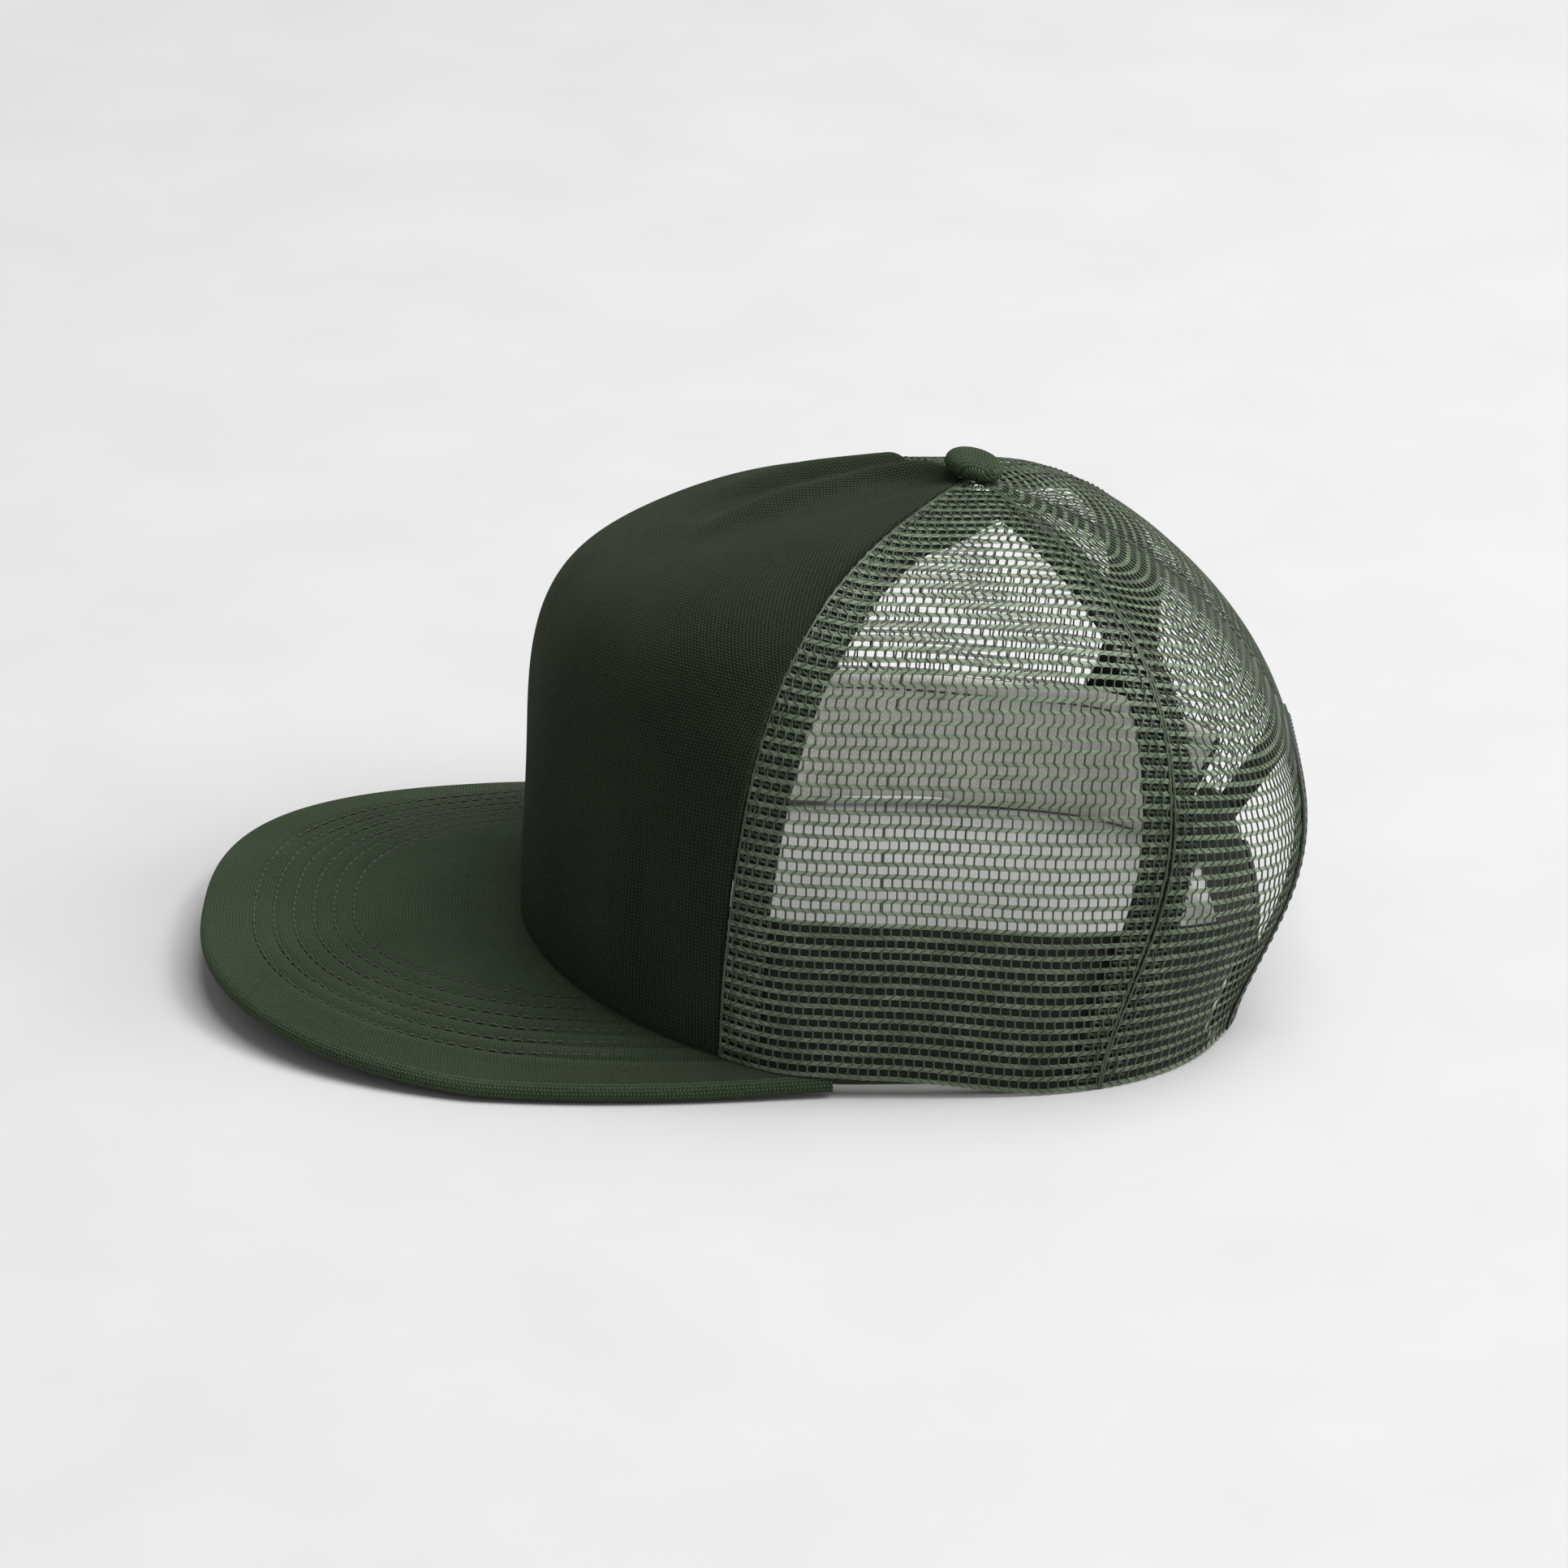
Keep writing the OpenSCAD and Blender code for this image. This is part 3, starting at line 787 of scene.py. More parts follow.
def spread(grid: Array) -> float:
    """Returns a grid's area: half the length of the cross product of each cell's diagonals, summed."""
    one = grid[1:, 1:] - grid[:-1, :-1]
    other = grid[1:, :-1] - grid[:-1, 1:]
    return float(np.linalg.norm(np.cross(one, other), axis=-1).sum() / 2)


def declare(piece: bpy.types.Object, grids: list[Array], held: str, *rests_on: str) -> None:
    """Works out the width, length and area of a piece's cloth, as if cut from one flat rectangle, and keeps
    none of them.

    Args:
        piece: The finished piece. Not used.
        grids: Its outer faces, of shape (across, along, 3), cut side by side.
        held: How the cloth is held. Not used.
        rests_on: What it lies on. Not used.
    """
    wide = sum(float(run_length(g, 0)[-1].max()) for g in grids)
    long = max(float(run_length(g, 1)[:, -1].max()) for g in grids)
    area = sum(spread(g) for g in grids) * MM * MM


# --- the crown's shape ---


@dataclass(frozen=True)
class BillArch:
    """Side-to-side arch of the bill, which the crown's front rim sits on."""

    half_width: float = 96.0
    rise: float = 8.0
    thickness: float = 4.3
    foot: float = 0.965

    def under(self, x: Array) -> Array:
        """Returns the underside's height: rise times one less the cube of x over the foot."""
        return self.rise * (1 - np.clip(np.abs(x) / self.half_width / self.foot, 0, 1) ** 3)

    def over(self, x: Array) -> Array:
        """Returns the upper face's height."""
        return self.under(x) + self.thickness


@dataclass(frozen=True)
class CrownShape:
    """The crown's outer surface over a signed turn from the forehead and a rise from the rim.

    The turn is 0 at the forehead, 90 at the left side, -90 at the right side and 180
    at the back. The rise goes from 0 at the rim to 90 at the button.
    """

    arch: BillArch = BillArch()
    half_width: float = 90.0
    front: float = 91.0
    rear: float = 94.0
    swell_side: float = 0.5
    swell_rear: float = 19.0
    lean_front: float = 2.5
    swell_top: float = 0.55
    swell_start: float = 1.4
    height: float = 129.5
    apex_back: float = 24.0
    falls: tuple[float, float, float] = (20.0, 10.0, 32.0)
    squares: tuple[float, float, float] = (7.0, 3.0, 3.0)
    shoulder: float = 6.0
    outline: float = 3.2
    rim_gap: float = 0.35
    rim_turns: tuple[float, float] = (84.0, 106.0)
    front_seam_turns: tuple[float, float] = (64.8, 68.5)
    rear_seam_turns: tuple[float, float] = (115.0, 125.0)
    settle: float = 0.6
    top: float = 88.0

    @staticmethod
    def around(turn: Array, front: float, side: float, rear: float) -> Array:
        """Returns a value given at forehead, side and back, blended between them."""
        ahead = mix(front, side, ease((turn - 10) / 70))
        behind = mix(side, rear, ease((turn - 100) / 70))
        return np.where(turn < 90, ahead, behind)

    def plan(
        self, turn: Array, width: Array | float, front: Array | float, rear: Array | float
    ) -> tuple[Array, Array]:
        """Works out the rim's outline.

        Args:
            turn: Unsigned turns, in degrees.
            width: Half width of the outline.
            front: Its reach ahead of the sides.
            rear: Its reach behind them.

        Returns:
            x as width times sine, and y as reach times cosine, each to a power that
            squares the outline a little towards the back.
        """
        power = 2 / mix(2, self.outline, ease((turn - 60) / 50))
        a = np.radians(turn)
        c = np.abs(np.cos(a)) ** power
        return width * np.sin(a) ** power, np.where(turn < 90, -front * c, rear * c)

    def rim(self, turn: Array) -> Array:
        """Returns the rim's height: on the bill in front, down to the floor past its corners."""
        low, high = self.rim_turns
        x, _ = self.plan(np.minimum(turn, low), self.half_width, self.front, self.rear)
        return (self.arch.over(x) + self.rim_gap) * (1 - ease((turn - low) / (high - low)))

    def profile(self, turn: Array, rise: Array) -> tuple[Array, Array]:
        """Returns the share of the way out and up on a rounded square arc."""
        n = self.around(turn, *self.squares)
        c, s = np.cos(np.radians(rise)), np.sin(np.radians(rise))
        d = (c**n + s**n) ** (1 / n)
        return c / d, s / d

    def skin(self, turn: Array, rise: Array) -> Array:
        """Works out points of the outer surface.

        Args:
            turn: Signed turns, in degrees.
            rise: Rises, in degrees.

        Returns:
            Points whose outline shrinks by the profile's way out, and whose height goes
            from the rim to the roof by its way up. The roof falls off to all sides.
        """
        turn, rise = np.broadcast_arrays(np.asarray(turn, float), np.asarray(rise, float))
        turn = (turn + 180) % 360 - 180
        side = np.where(turn < 0, -1.0, 1.0)
        a = np.clip(np.abs(turn), 1e-4, 180 - 1e-4)
        out, up = self.profile(a, rise)
        swell = np.sin(np.pi / 2 * np.clip(up / self.swell_top, 0, 1)) ** self.swell_start
        width = self.half_width + self.swell_side * swell
        front, rear = self.front - self.lean_front * swell, self.rear + self.swell_rear * swell
        x, y = self.plan(a, width, front, rear)
        x = x * out
        slope = self.shoulder * side * x / self.half_width
        roof = self.height - self.around(a, *self.falls) * out + slope
        return np.stack([side * x, mix(self.apex_back, y, out), mix(self.rim(a), roof, up)], -1)

    def outward(self, turn: Array, rise: Array, step: float = 0.5) -> Array:
        """Returns the outward direction, kept level or upward, from steps either way."""
        high, low = np.minimum(rise + step, 89.8), np.maximum(rise - step, 0.0)
        along = self.skin(turn + step, rise) - self.skin(turn - step, rise)
        up = self.skin(turn, high) - self.skin(turn, low)
        out = np.cross(along, up)
        out[..., 2] = np.maximum(out[..., 2], 0)
        return unit(out)

    def layer(self, turn: Array, rise: Array, depth: Array | float = 0.0) -> Array:
        """Returns points at a depth under the outer surface."""
        turn, rise, depth = np.broadcast_arrays(turn, rise, depth)
        return self.skin(turn, rise) - depth[..., None] * self.outward(turn, rise)

    def front_seam(self, rise: Array) -> Array:
        """Returns the turn of the seam between front panel and side mesh."""
        return mix(*self.front_seam_turns, ease(rise / 90 / self.settle))

    def rear_seam(self, rise: Array) -> Array:
        """Returns the turn of the seam between side mesh and rear mesh."""
        return mix(*self.rear_seam_turns, ease(rise / 90 / self.settle))

    def rise_at(self, height: float, fall: float) -> float:
        """Returns the rise at a height over the rim, low on the wall."""
        return math.degrees(math.atan(height / (self.height - fall)))

    def back_turn(self, x: float) -> float:
        """Returns how far from the middle of the back the outline is x wide."""
        return math.degrees(math.asin(min(x / self.half_width, 1.0) ** (self.outline / 2)))

    def sidestep(self, turn: Array, rise: Array, offset: Array | float, step: float = 0.25) -> Array:
        """Returns the turn that lies offset millimetres round from another at the same rise."""
        span = np.linalg.norm(self.skin(turn + step, rise) - self.skin(turn - step, rise), axis=-1)
        return turn + offset * 2 * step / np.maximum(span, 0.02)


@dataclass(frozen=True)
class RearArch:
    """Arched opening over the snap strap."""

    shape: CrownShape
    half_width: float = 46.0
    height: float = 52.0
    binding: float = 9.0
    reach: float = 0.985

    @property
    def turn(self) -> float:
        """Turn from the middle of the back to the opening's foot."""
        return self.shape.back_turn(self.half_width)

    @property
    def rise(self) -> float:
        """Rise of the opening's top."""
        return self.shape.rise_at(self.height, self.shape.falls[2])

    def spot(self, q: Array, out: Array) -> tuple[Array, Array]:
        """Works out places round the opening.

        Args:
            q: From -1 at the right foot to 1 at the left one.
            out: Shares of the binding's width away from the opening's edge.

        Returns:
            Signed turns and rises on an ellipse that grows with out.
        """
        around = np.pi / 2 * (1 - np.abs(q))
        low, _ = self.shape.rear_seam_turns
        half = self.turn + out * (self.shape.back_turn(self.half_width + self.binding) - self.turn)
        rise = (self.rise + out * self.shape.rise_at(self.binding, self.shape.falls[2])) * np.sin(around)
        share = 1 - half * np.cos(around) / (180 - low)
        return np.where(q < 0, -1, 1) * mix(self.shape.rear_seam(rise), 180.0, share), rise

    def edge(self, rise: Array) -> Array:
        """Returns the turn at which the rear mesh ends: at the opening, or 180 above it."""
        low, _ = self.shape.rear_seam_turns
        wide = np.sqrt(np.clip(1 - np.square(rise / self.rise), 0, 1))
        return 180 - self.turn * wide * (180 - self.shape.rear_seam(rise)) / (180 - low)


# --- the front ---


@dataclass
class FrontPanel:
    """Cloth front with its foam backing, as one padded panel with soft folds."""

    shape: CrownShape
    columns: int = 250
    rows: int = 170
    cloth_t: float = 0.9
    gap: float = 0.15
    foam_t: float = 2.0
    foam_short: float = 0.01
    edge_roll: float = 1.3
    hem_in: float = 0.5
    crest_y: tuple[float, ...] = (-46.0, -36.0, -18.0, 0.0, 16.0, 24.0)
    crest_x: tuple[float, ...] = (9.0, 4.0, -4.5, -9.5, -8.5, -3.0)
    fold_half: float = 4.2
    fold_apart: float = 2.1
    ridge: float = 2.9
    valley: float = 2.4
    far_ridge: float = 1.8
    buckle: float = 1.7
    buckle_turn: float = 51.2
    buckle_lean: float = 0.14
    buckle_rim: float = 1.1
    far_buckle: float = 0.7
    far_rim: float = 0.5
    far_turn: float = -47.0
    slow_wave: float = 0.22
    quick_wave: float = 0.16
    roll_share: float = 0.75
    deepest: float = 0.8
    foam_lift: float = 0.8
    foam_thin: float = 0.55
    foam_uneven: float = 0.12

    def folds(self, turn: Array, rise: Array) -> Array:
        """Works out how far the cloth stands off its smooth shape.

        Args:
            turn: Signed turns.
            rise: Rises.

        Returns:
            The sum of the ridges that run forward from the button, the valley between
            them, the shallow buckle low on the left and slow waves over the panel.
        """
        x, y, _ = np.moveaxis(self.shape.skin(turn, rise), -1, 0)
        crest = np.interp(y, self.crest_y, self.crest_x)
        along = ease((y + 52) / 26) * ease((22 - y) / 12)
        off = x - crest
        spread = self.fold_half * (1 + 0.5 * ease((4 - y) / 40))
        apart = self.fold_apart * spread
        ridge = self.ridge * hump(off, spread) - self.valley * hump(off + apart, spread)
        ridge = ridge + self.far_ridge * hump(off + 2 * apart, 1.2 * spread)
        low = ease((30 - rise) / 14) * ease((rise - 1) / 6)
        lean = self.buckle_turn + self.buckle_lean * (22 - rise)
        buckle = self.buckle_rim * hump(turn - lean + 8.5, 4.5) - self.buckle * hump(turn - lean, 3.6)
        off = turn - self.far_turn
        far = self.far_rim * hump(off - 9, 5.0) - self.far_buckle * hump(off, 5.0)
        wave = self.slow_wave * np.sin(turn / 11 + rise / 19)
        wave = wave + self.quick_wave * np.sin(turn / 6.3 - rise / 13 + 1.0)
        inside = ease(np.minimum(rise / 8, 1) * ease((86 - rise) / 10))
        return ridge * along + (buckle + far) * low + wave * inside

    def build(self, wardrobe: Wardrobe) -> None:
        """Makes the cloth and the foam.

        Args:
            wardrobe: Where the materials come from.
        """
        s = np.linspace(-1, 1, self.columns)[:, None]
        rise = np.linspace(0, self.shape.top, self.rows)[None, :]
        turn = s * self.shape.front_seam(rise)
        points = self.shape.skin(turn, rise)
        across = run_length(points, 0)
        from_seam = np.minimum(across, across[-1] - across)
        short = 1 - np.clip(from_seam / self.edge_roll, 0, 1)
        roll = self.edge_roll * (1 - np.sqrt(np.clip(1 - np.square(short), 0, 1)))
        hem = self.hem_in * (1 - ease(run_length(points, 1) / 1.2))
        depth = self.roll_share * roll + hem - self.folds(turn, rise)
        outer = self.shape.layer(turn, rise, np.minimum(depth, self.deepest))
        inner = self.shape.layer(turn, rise, np.minimum(depth, 0.0) + self.cloth_t)
        cloth = shell(outer, inner).dressed(0)
        piece = cloth.to_object("front_panel_cloth", [wardrobe[Finish.CROWN]])
        settle(piece, "crown_knit", "front_panel")
        declare(piece, [points], "stretched", "front_foam_backing")
        self.build_foam(wardrobe)

    def build_foam(self, wardrobe: Wardrobe) -> None:
        """Makes the foam behind the cloth, pulled thin at its sewn edges."""
        s = np.linspace(self.foam_short - 1, 1 - self.foam_short, 110)[:, None]
        rise = np.linspace(0.4, self.shape.top - 0.5, 90)[None, :]
        turn = s * self.shape.front_seam(rise)
        lift = np.maximum(self.folds(turn, rise), 0.0)
        top = self.cloth_t + self.gap - self.foam_lift * lift
        thin = self.foam_thin * (hump((1 - np.abs(s)) * 70, 3.0) + hump(rise, 2.0))
        outer = self.shape.layer(turn, rise, top)
        uneven = self.foam_uneven * np.sin(turn / 4) * np.sin(rise / 5)
        inner = self.shape.layer(turn, rise, top + self.foam_t - thin + uneven)
        piece = shell(outer, inner).dressed(0).to_object("front_foam_backing", [wardrobe[Finish.FOAM]])
        settle(piece, "foam_backing", "front_foam")


# --- the mesh panels ---


class Panel(Enum):
    """The two kinds of mesh panel on each side of the crown."""

    SIDE = "side"
    REAR = "rear"


@dataclass
class MeshCloth:
    """One mesh panel's flat cloth, laid on the crown.

    A place on the cloth is u along the row from the panel's middle line and w up
    from the rim. Tables of arc length turn it into a turn and a rise.
    """

    shape: CrownShape
    arch: RearArch
    panel: Panel
    side: int = 1
    samples: int = 240
    reach: float = 75.0

    def __post_init__(self) -> None:
        """Fills the tables: rise over w, turn over u and w, and both edges over w."""
        rise = np.linspace(0, self.shape.top, self.samples)
        low, high = self.limits(rise)
        self.middle = np.full_like(rise, 90.0 if self.panel is Panel.SIDE else 146.0)
        self.w = run_length(self.shape.skin(self.middle, rise), 0)
        self.rise = rise
        spread = np.linspace(-70, 90, 641)
        turns = np.clip(self.middle[:, None] + spread, 40, 180.0)
        grid = self.shape.skin(turns, rise[:, None])
        run = run_length(grid, 1)
        run = run + 1e-6 * np.arange(run.shape[1])
        turn_keys = turns + 1e-9 * spread
        centre = np.array([np.interp(m, t, r) for m, t, r in zip(self.middle, turn_keys, run)])
        self.u = np.linspace(-self.reach, self.reach, 401)
        self.turn = np.stack([np.interp(self.u + c, r, t) for c, r, t in zip(centre, run, turns)])
        self.low, self.high = (
            np.array([np.interp(v, t, r) - c for v, t, r, c in zip(edge, turn_keys, run, centre)])
            for edge in (low, high)
        )

    def limits(self, rise: Array) -> tuple[Array, Array]:
        """Returns the turns of the panel's front and rear edges."""
        if self.panel is Panel.SIDE:
            return self.shape.front_seam(rise), self.shape.rear_seam(rise)
        return self.shape.rear_seam(rise), self.arch.edge(rise)

    def edges(self, w: Array) -> tuple[Array, Array]:
        """Returns the u of the panel's front and rear edges at a height up the cloth."""
        return np.interp(w, self.w, self.low), np.interp(w, self.w, self.high)

    def place(self, u: Array, w: Array) -> tuple[Array, Array]:
        """Turns places on the cloth into turns and rises.

        Args:
            u: Ways along the row.
            w: Ways up from the rim.

        Returns:
            Unsigned turns, from the table by the nearest four values, and rises.
        """
        row = np.interp(w, self.w, np.arange(self.samples, dtype=float))
        column = np.clip((u + self.reach) / (2 * self.reach), 0, 1) * (len(self.u) - 1)
        i = np.minimum(row.astype(int), self.samples - 2)
        j = np.minimum(column.astype(int), len(self.u) - 2)
        s, t = row - i, column - j
        below = mix(self.turn[i, j], self.turn[i, j + 1], t)
        above = mix(self.turn[i + 1, j], self.turn[i + 1, j + 1], t)
        return mix(below, above, s), np.interp(w, self.w, self.rise)


@dataclass
class MeshPanels:
    """Four panels of knitted mesh, with real holes between ribbons and threads."""

    shape: CrownShape
    arch: RearArch
    row_pitch: float = 3.15
    column_pitch: float = 2.47
    first_row: float = 0.7
    folded_ribbon: float = 0.45
    ribbon_t: float = 0.18
    fillet: float = 0.2
    thread_half: float = 0.24
    thread_t: float = 0.22
    thread_lift: float = 0.1
    thread_end: float = 0.46
    edge_gap: float = 0.2
    bead_in: float = 0.55
    bead_wide: float = 0.42
    bead_thick: float = 0.38
    middle: float = 0.45
    allowance_depth: float = 1.02
    front_allowance: float = 10.5
    rear_allowance: float = 7.0
    crease: float = 0.9
    crease_turn: float = 83.0
    back_dent: float = 0.5
    back_turn: float = 136.0
    back_puff: float = 0.25
    waves: float = 0.15
    drift_along: tuple[float, float] = (0.22, 0.05)
    drift_up: tuple[float, float] = (0.2, 0.04)

    def dents(self, turn: Array, rise: Array) -> Array:
        """Works out how far the mesh hangs in.

        Args:
            turn: Unsigned turns.
            rise: Rises.

        Returns:
            A crease behind the front seam, a dent at the back with a puff ahead of
            it, each a bell across the turn, and slow waves.
        """
        crease = self.crease * hump(turn - self.crease_turn + 0.06 * rise, 2.6)
        crease = crease * ease((rise - 22) / 12) * ease((62 - rise) / 18)
        off = turn - self.back_turn - 0.28 * np.maximum(rise - 10, 0)
        back = self.back_dent * hump(off, 5.0) - self.back_puff * hump(off + 8, 4.5)
        back = back * ease((rise - 8) / 10) * ease((56 - rise) / 14)
        slow = self.waves * np.sin(turn / 7 + rise / 9) * ease(rise / 10) * ease((80 - rise) / 15)
        return crease + back + slow

    def drift(self, u: Array, w: Array) -> tuple[Array, Array]:
        """Returns the cloth place moved by slow waves, as handled knit is never quite square."""
        slow, quick = self.drift_along
        shifted = u + slow * np.sin(w / 17 + u / 31) + quick * np.sin(u * 1.7 + w * 2.9)
        slow, quick = self.drift_up
        raised = w + slow * np.sin(u / 19 + 0.8) + quick * np.sin(u * 2.3 - w * 1.9)
        return shifted, raised

    def net(
        self,
        cloth: MeshCloth,
        low: Callable,
        high: Callable,
        depth: float,
        start: float = 0.0,
        ribbon: float = 1.1,
    ) -> Surface:
        """Knits the net between two edges of a panel.

        Args:
            cloth: The panel's cloth.
            low: The front edge's u over w.
            high: The rear edge's u over w.
            depth: Depth of the yarn's middle under the outer surface.
            start: Share of a pitch that the rows and columns are moved by.
            ribbon: Width of the laid-in ribbons.

        Returns:
            Flat ribbons along every row, wider where a thread joins, and threads that
            run straight up between two holes and then slant half a pitch over the
            ribbon, one way and back.
        """
        total = cloth.w[-1]
        rows = np.arange(self.first_row + start * self.row_pitch, total, self.row_pitch)
        half = self.column_pitch / 2
        count = int(cloth.reach / half)
        lattice = np.arange(-count, count + 1)
        parity = (lattice[None, :] + np.arange(len(rows))[:, None]) % 2
        u = np.broadcast_to(lattice * half + start * half, parity.shape)
        w = np.broadcast_to(rows[:, None], parity.shape)
        inside = (u > low(w)) & (u < high(w))
        held = np.clip(u, low(w), high(w))
        keep = (inside[:, 1:] | inside[:, :-1]) & (high(w) > low(w) + 1)[:, 1:]
        top = ribbon / 2 + self.fillet * (1 - parity)
        base = ribbon / 2 + self.fillet * parity
        zero = np.zeros_like(held)
        rise_by = np.stack([top, zero, -base, zero], -1)
        sink = np.stack([zero, zero - self.ribbon_t / 2, zero, zero + self.ribbon_t / 2], -1)
        ribbons = np.stack(
            [np.broadcast_to(held[..., None], rise_by.shape), w[..., None] + rise_by, depth + sink], -1
        )
        columns = np.arange(-count // 2, count // 2 + 1)
        ends = np.repeat(rows, 2) + np.tile([-self.thread_end, self.thread_end], len(rows))
        step = np.repeat(np.arange(len(rows)), 2) + np.tile([-1, 0], len(rows))
        tu = (columns[:, None] + 0.5 * (step[None, :] % 2)) * self.column_pitch + start * half
        tw = np.broadcast_to(ends, tu.shape)
        within = (tu > low(tw)) & (tu < high(tw))
        kept = (within[:, 1:] | within[:, :-1]) & (high(tw) > low(tw) + 1)[:, 1:]
        tu = np.clip(tu, low(tw), high(tw))
        angle = np.arange(6) * np.pi / 3
        sunk = depth - self.thread_lift + self.thread_t * np.sin(angle)
        across = tu[..., None] + self.thread_half * np.cos(angle)
        threads = np.stack(np.broadcast_arrays(across, tw[..., None], sunk), -1)
        laid_in, chain = self.laid(cloth, ribbons, keep), self.laid(cloth, threads, kept)
        return joined([laid_in.dressed(0), chain.dressed(1)])

    def laid(self, cloth: MeshCloth, rings: Array, keep: Array) -> Surface:
        """Lays rings of (u, w, depth) on the crown and skins them.

        Args:
            cloth: The panel's cloth.
            rings: Places of shape (chains, rings, corners, 3).
            keep: Which steps along the chains are there.

        Returns:
            The tubes, on the cloth's side of the crown.
        """
        u, w = self.drift(rings[..., 0], rings[..., 1])
        turn, rise = cloth.place(u, np.clip(w, 0.0, cloth.w[-1]))
        depth = rings[..., 2] + self.dents(turn, rise)
        return tubes(self.shape.layer(cloth.side * turn, rise, depth), rings[..., :2], keep)

    def seam_bead(self, cloth: MeshCloth, rear: bool) -> Surface:
        """Makes the mesh's folded edge along a seam.

        Args:
            cloth: The panel's cloth.
            rear: Whether it is the rear edge rather than the front one.

        Returns:
            A flattened tube that follows the edge just inside the panel.
        """
        w = np.linspace(0.4, cloth.w[-1], 150)[None, :]
        edge = cloth.edges(w)[1] - self.bead_in if rear else cloth.edges(w)[0] + self.bead_in
        angle = np.arange(6) * np.pi / 3
        across = edge[..., None] + self.bead_wide * np.cos(angle)
        sunk = self.bead_in + self.bead_thick * np.sin(angle)
        rings = np.stack(np.broadcast_arrays(across, w[..., None], sunk), -1)
        return self.laid(cloth, rings, np.ones((1, w.shape[1] - 1), bool)).dressed(1)

    def build_panel(self, wardrobe: Wardrobe, panel: Panel, side: int, name: str) -> None:
        """Makes one panel.

        Args:
            wardrobe: Where the materials come from.
            panel: Which kind.
            side: 1 for the left and -1 for the right.
            name: The side's name.
        """
        cloth = MeshCloth(self.shape, self.arch, panel, side)

        def front_edge(w: Array) -> Array:
            return cloth.edges(w)[0] + self.edge_gap

        def rear_edge(w: Array) -> Array:
            return cloth.edges(w)[1] - self.edge_gap

        def front_fold(w: Array) -> Array:
            wide = self.front_allowance if panel is Panel.SIDE else self.rear_allowance
            return np.minimum(front_edge(w) + wide, rear_edge(w))

        def rear_fold(w: Array) -> Array:
            return np.maximum(rear_edge(w) - self.rear_allowance, front_edge(w))

        parts = [
            self.net(cloth, front_edge, rear_edge, self.middle),
            # The folded allowances are dressed all in the darker, opaque chain yarn, ribbons too: painted
            # shade for the doubled seam zone.
            self.net(
                cloth, front_edge, front_fold, self.allowance_depth, 0.5, self.folded_ribbon
            ).dressed(1),
            self.seam_bead(cloth, False),
        ]
        if panel is Panel.SIDE:
            # This rear allowance is dressed in the darker chain yarn as painted shade, as the front one is.
            folded = self.net(cloth, rear_fold, rear_edge, self.allowance_depth, 0.5, self.folded_ribbon)
            parts.append(folded.dressed(1))
            parts.append(self.seam_bead(cloth, True))
        finishes = [wardrobe[Finish.RIBBON], wardrobe[Finish.CHAIN]]
        piece = joined(parts).to_object(f"{panel.value}_mesh_{name}_net", finishes, 70.0)
        settle(piece, "mesh", f"{panel.value}_mesh_{name}")
        rise = np.linspace(0, self.shape.top, 60)
        low, high = cloth.limits(rise)
        turn = mix(low, high, np.linspace(0, 1, 30)[:, None])
        declare(piece, [self.shape.skin(side * turn, rise)], "stretched")

    def build(self, wardrobe: Wardrobe) -> None:
        """Makes all four panels."""
        for panel in Panel:
            for side, name in ((1, "left"), (-1, "right")):
                self.build_panel(wardrobe, panel, side, name)


# --- seams, tapes and binding ---


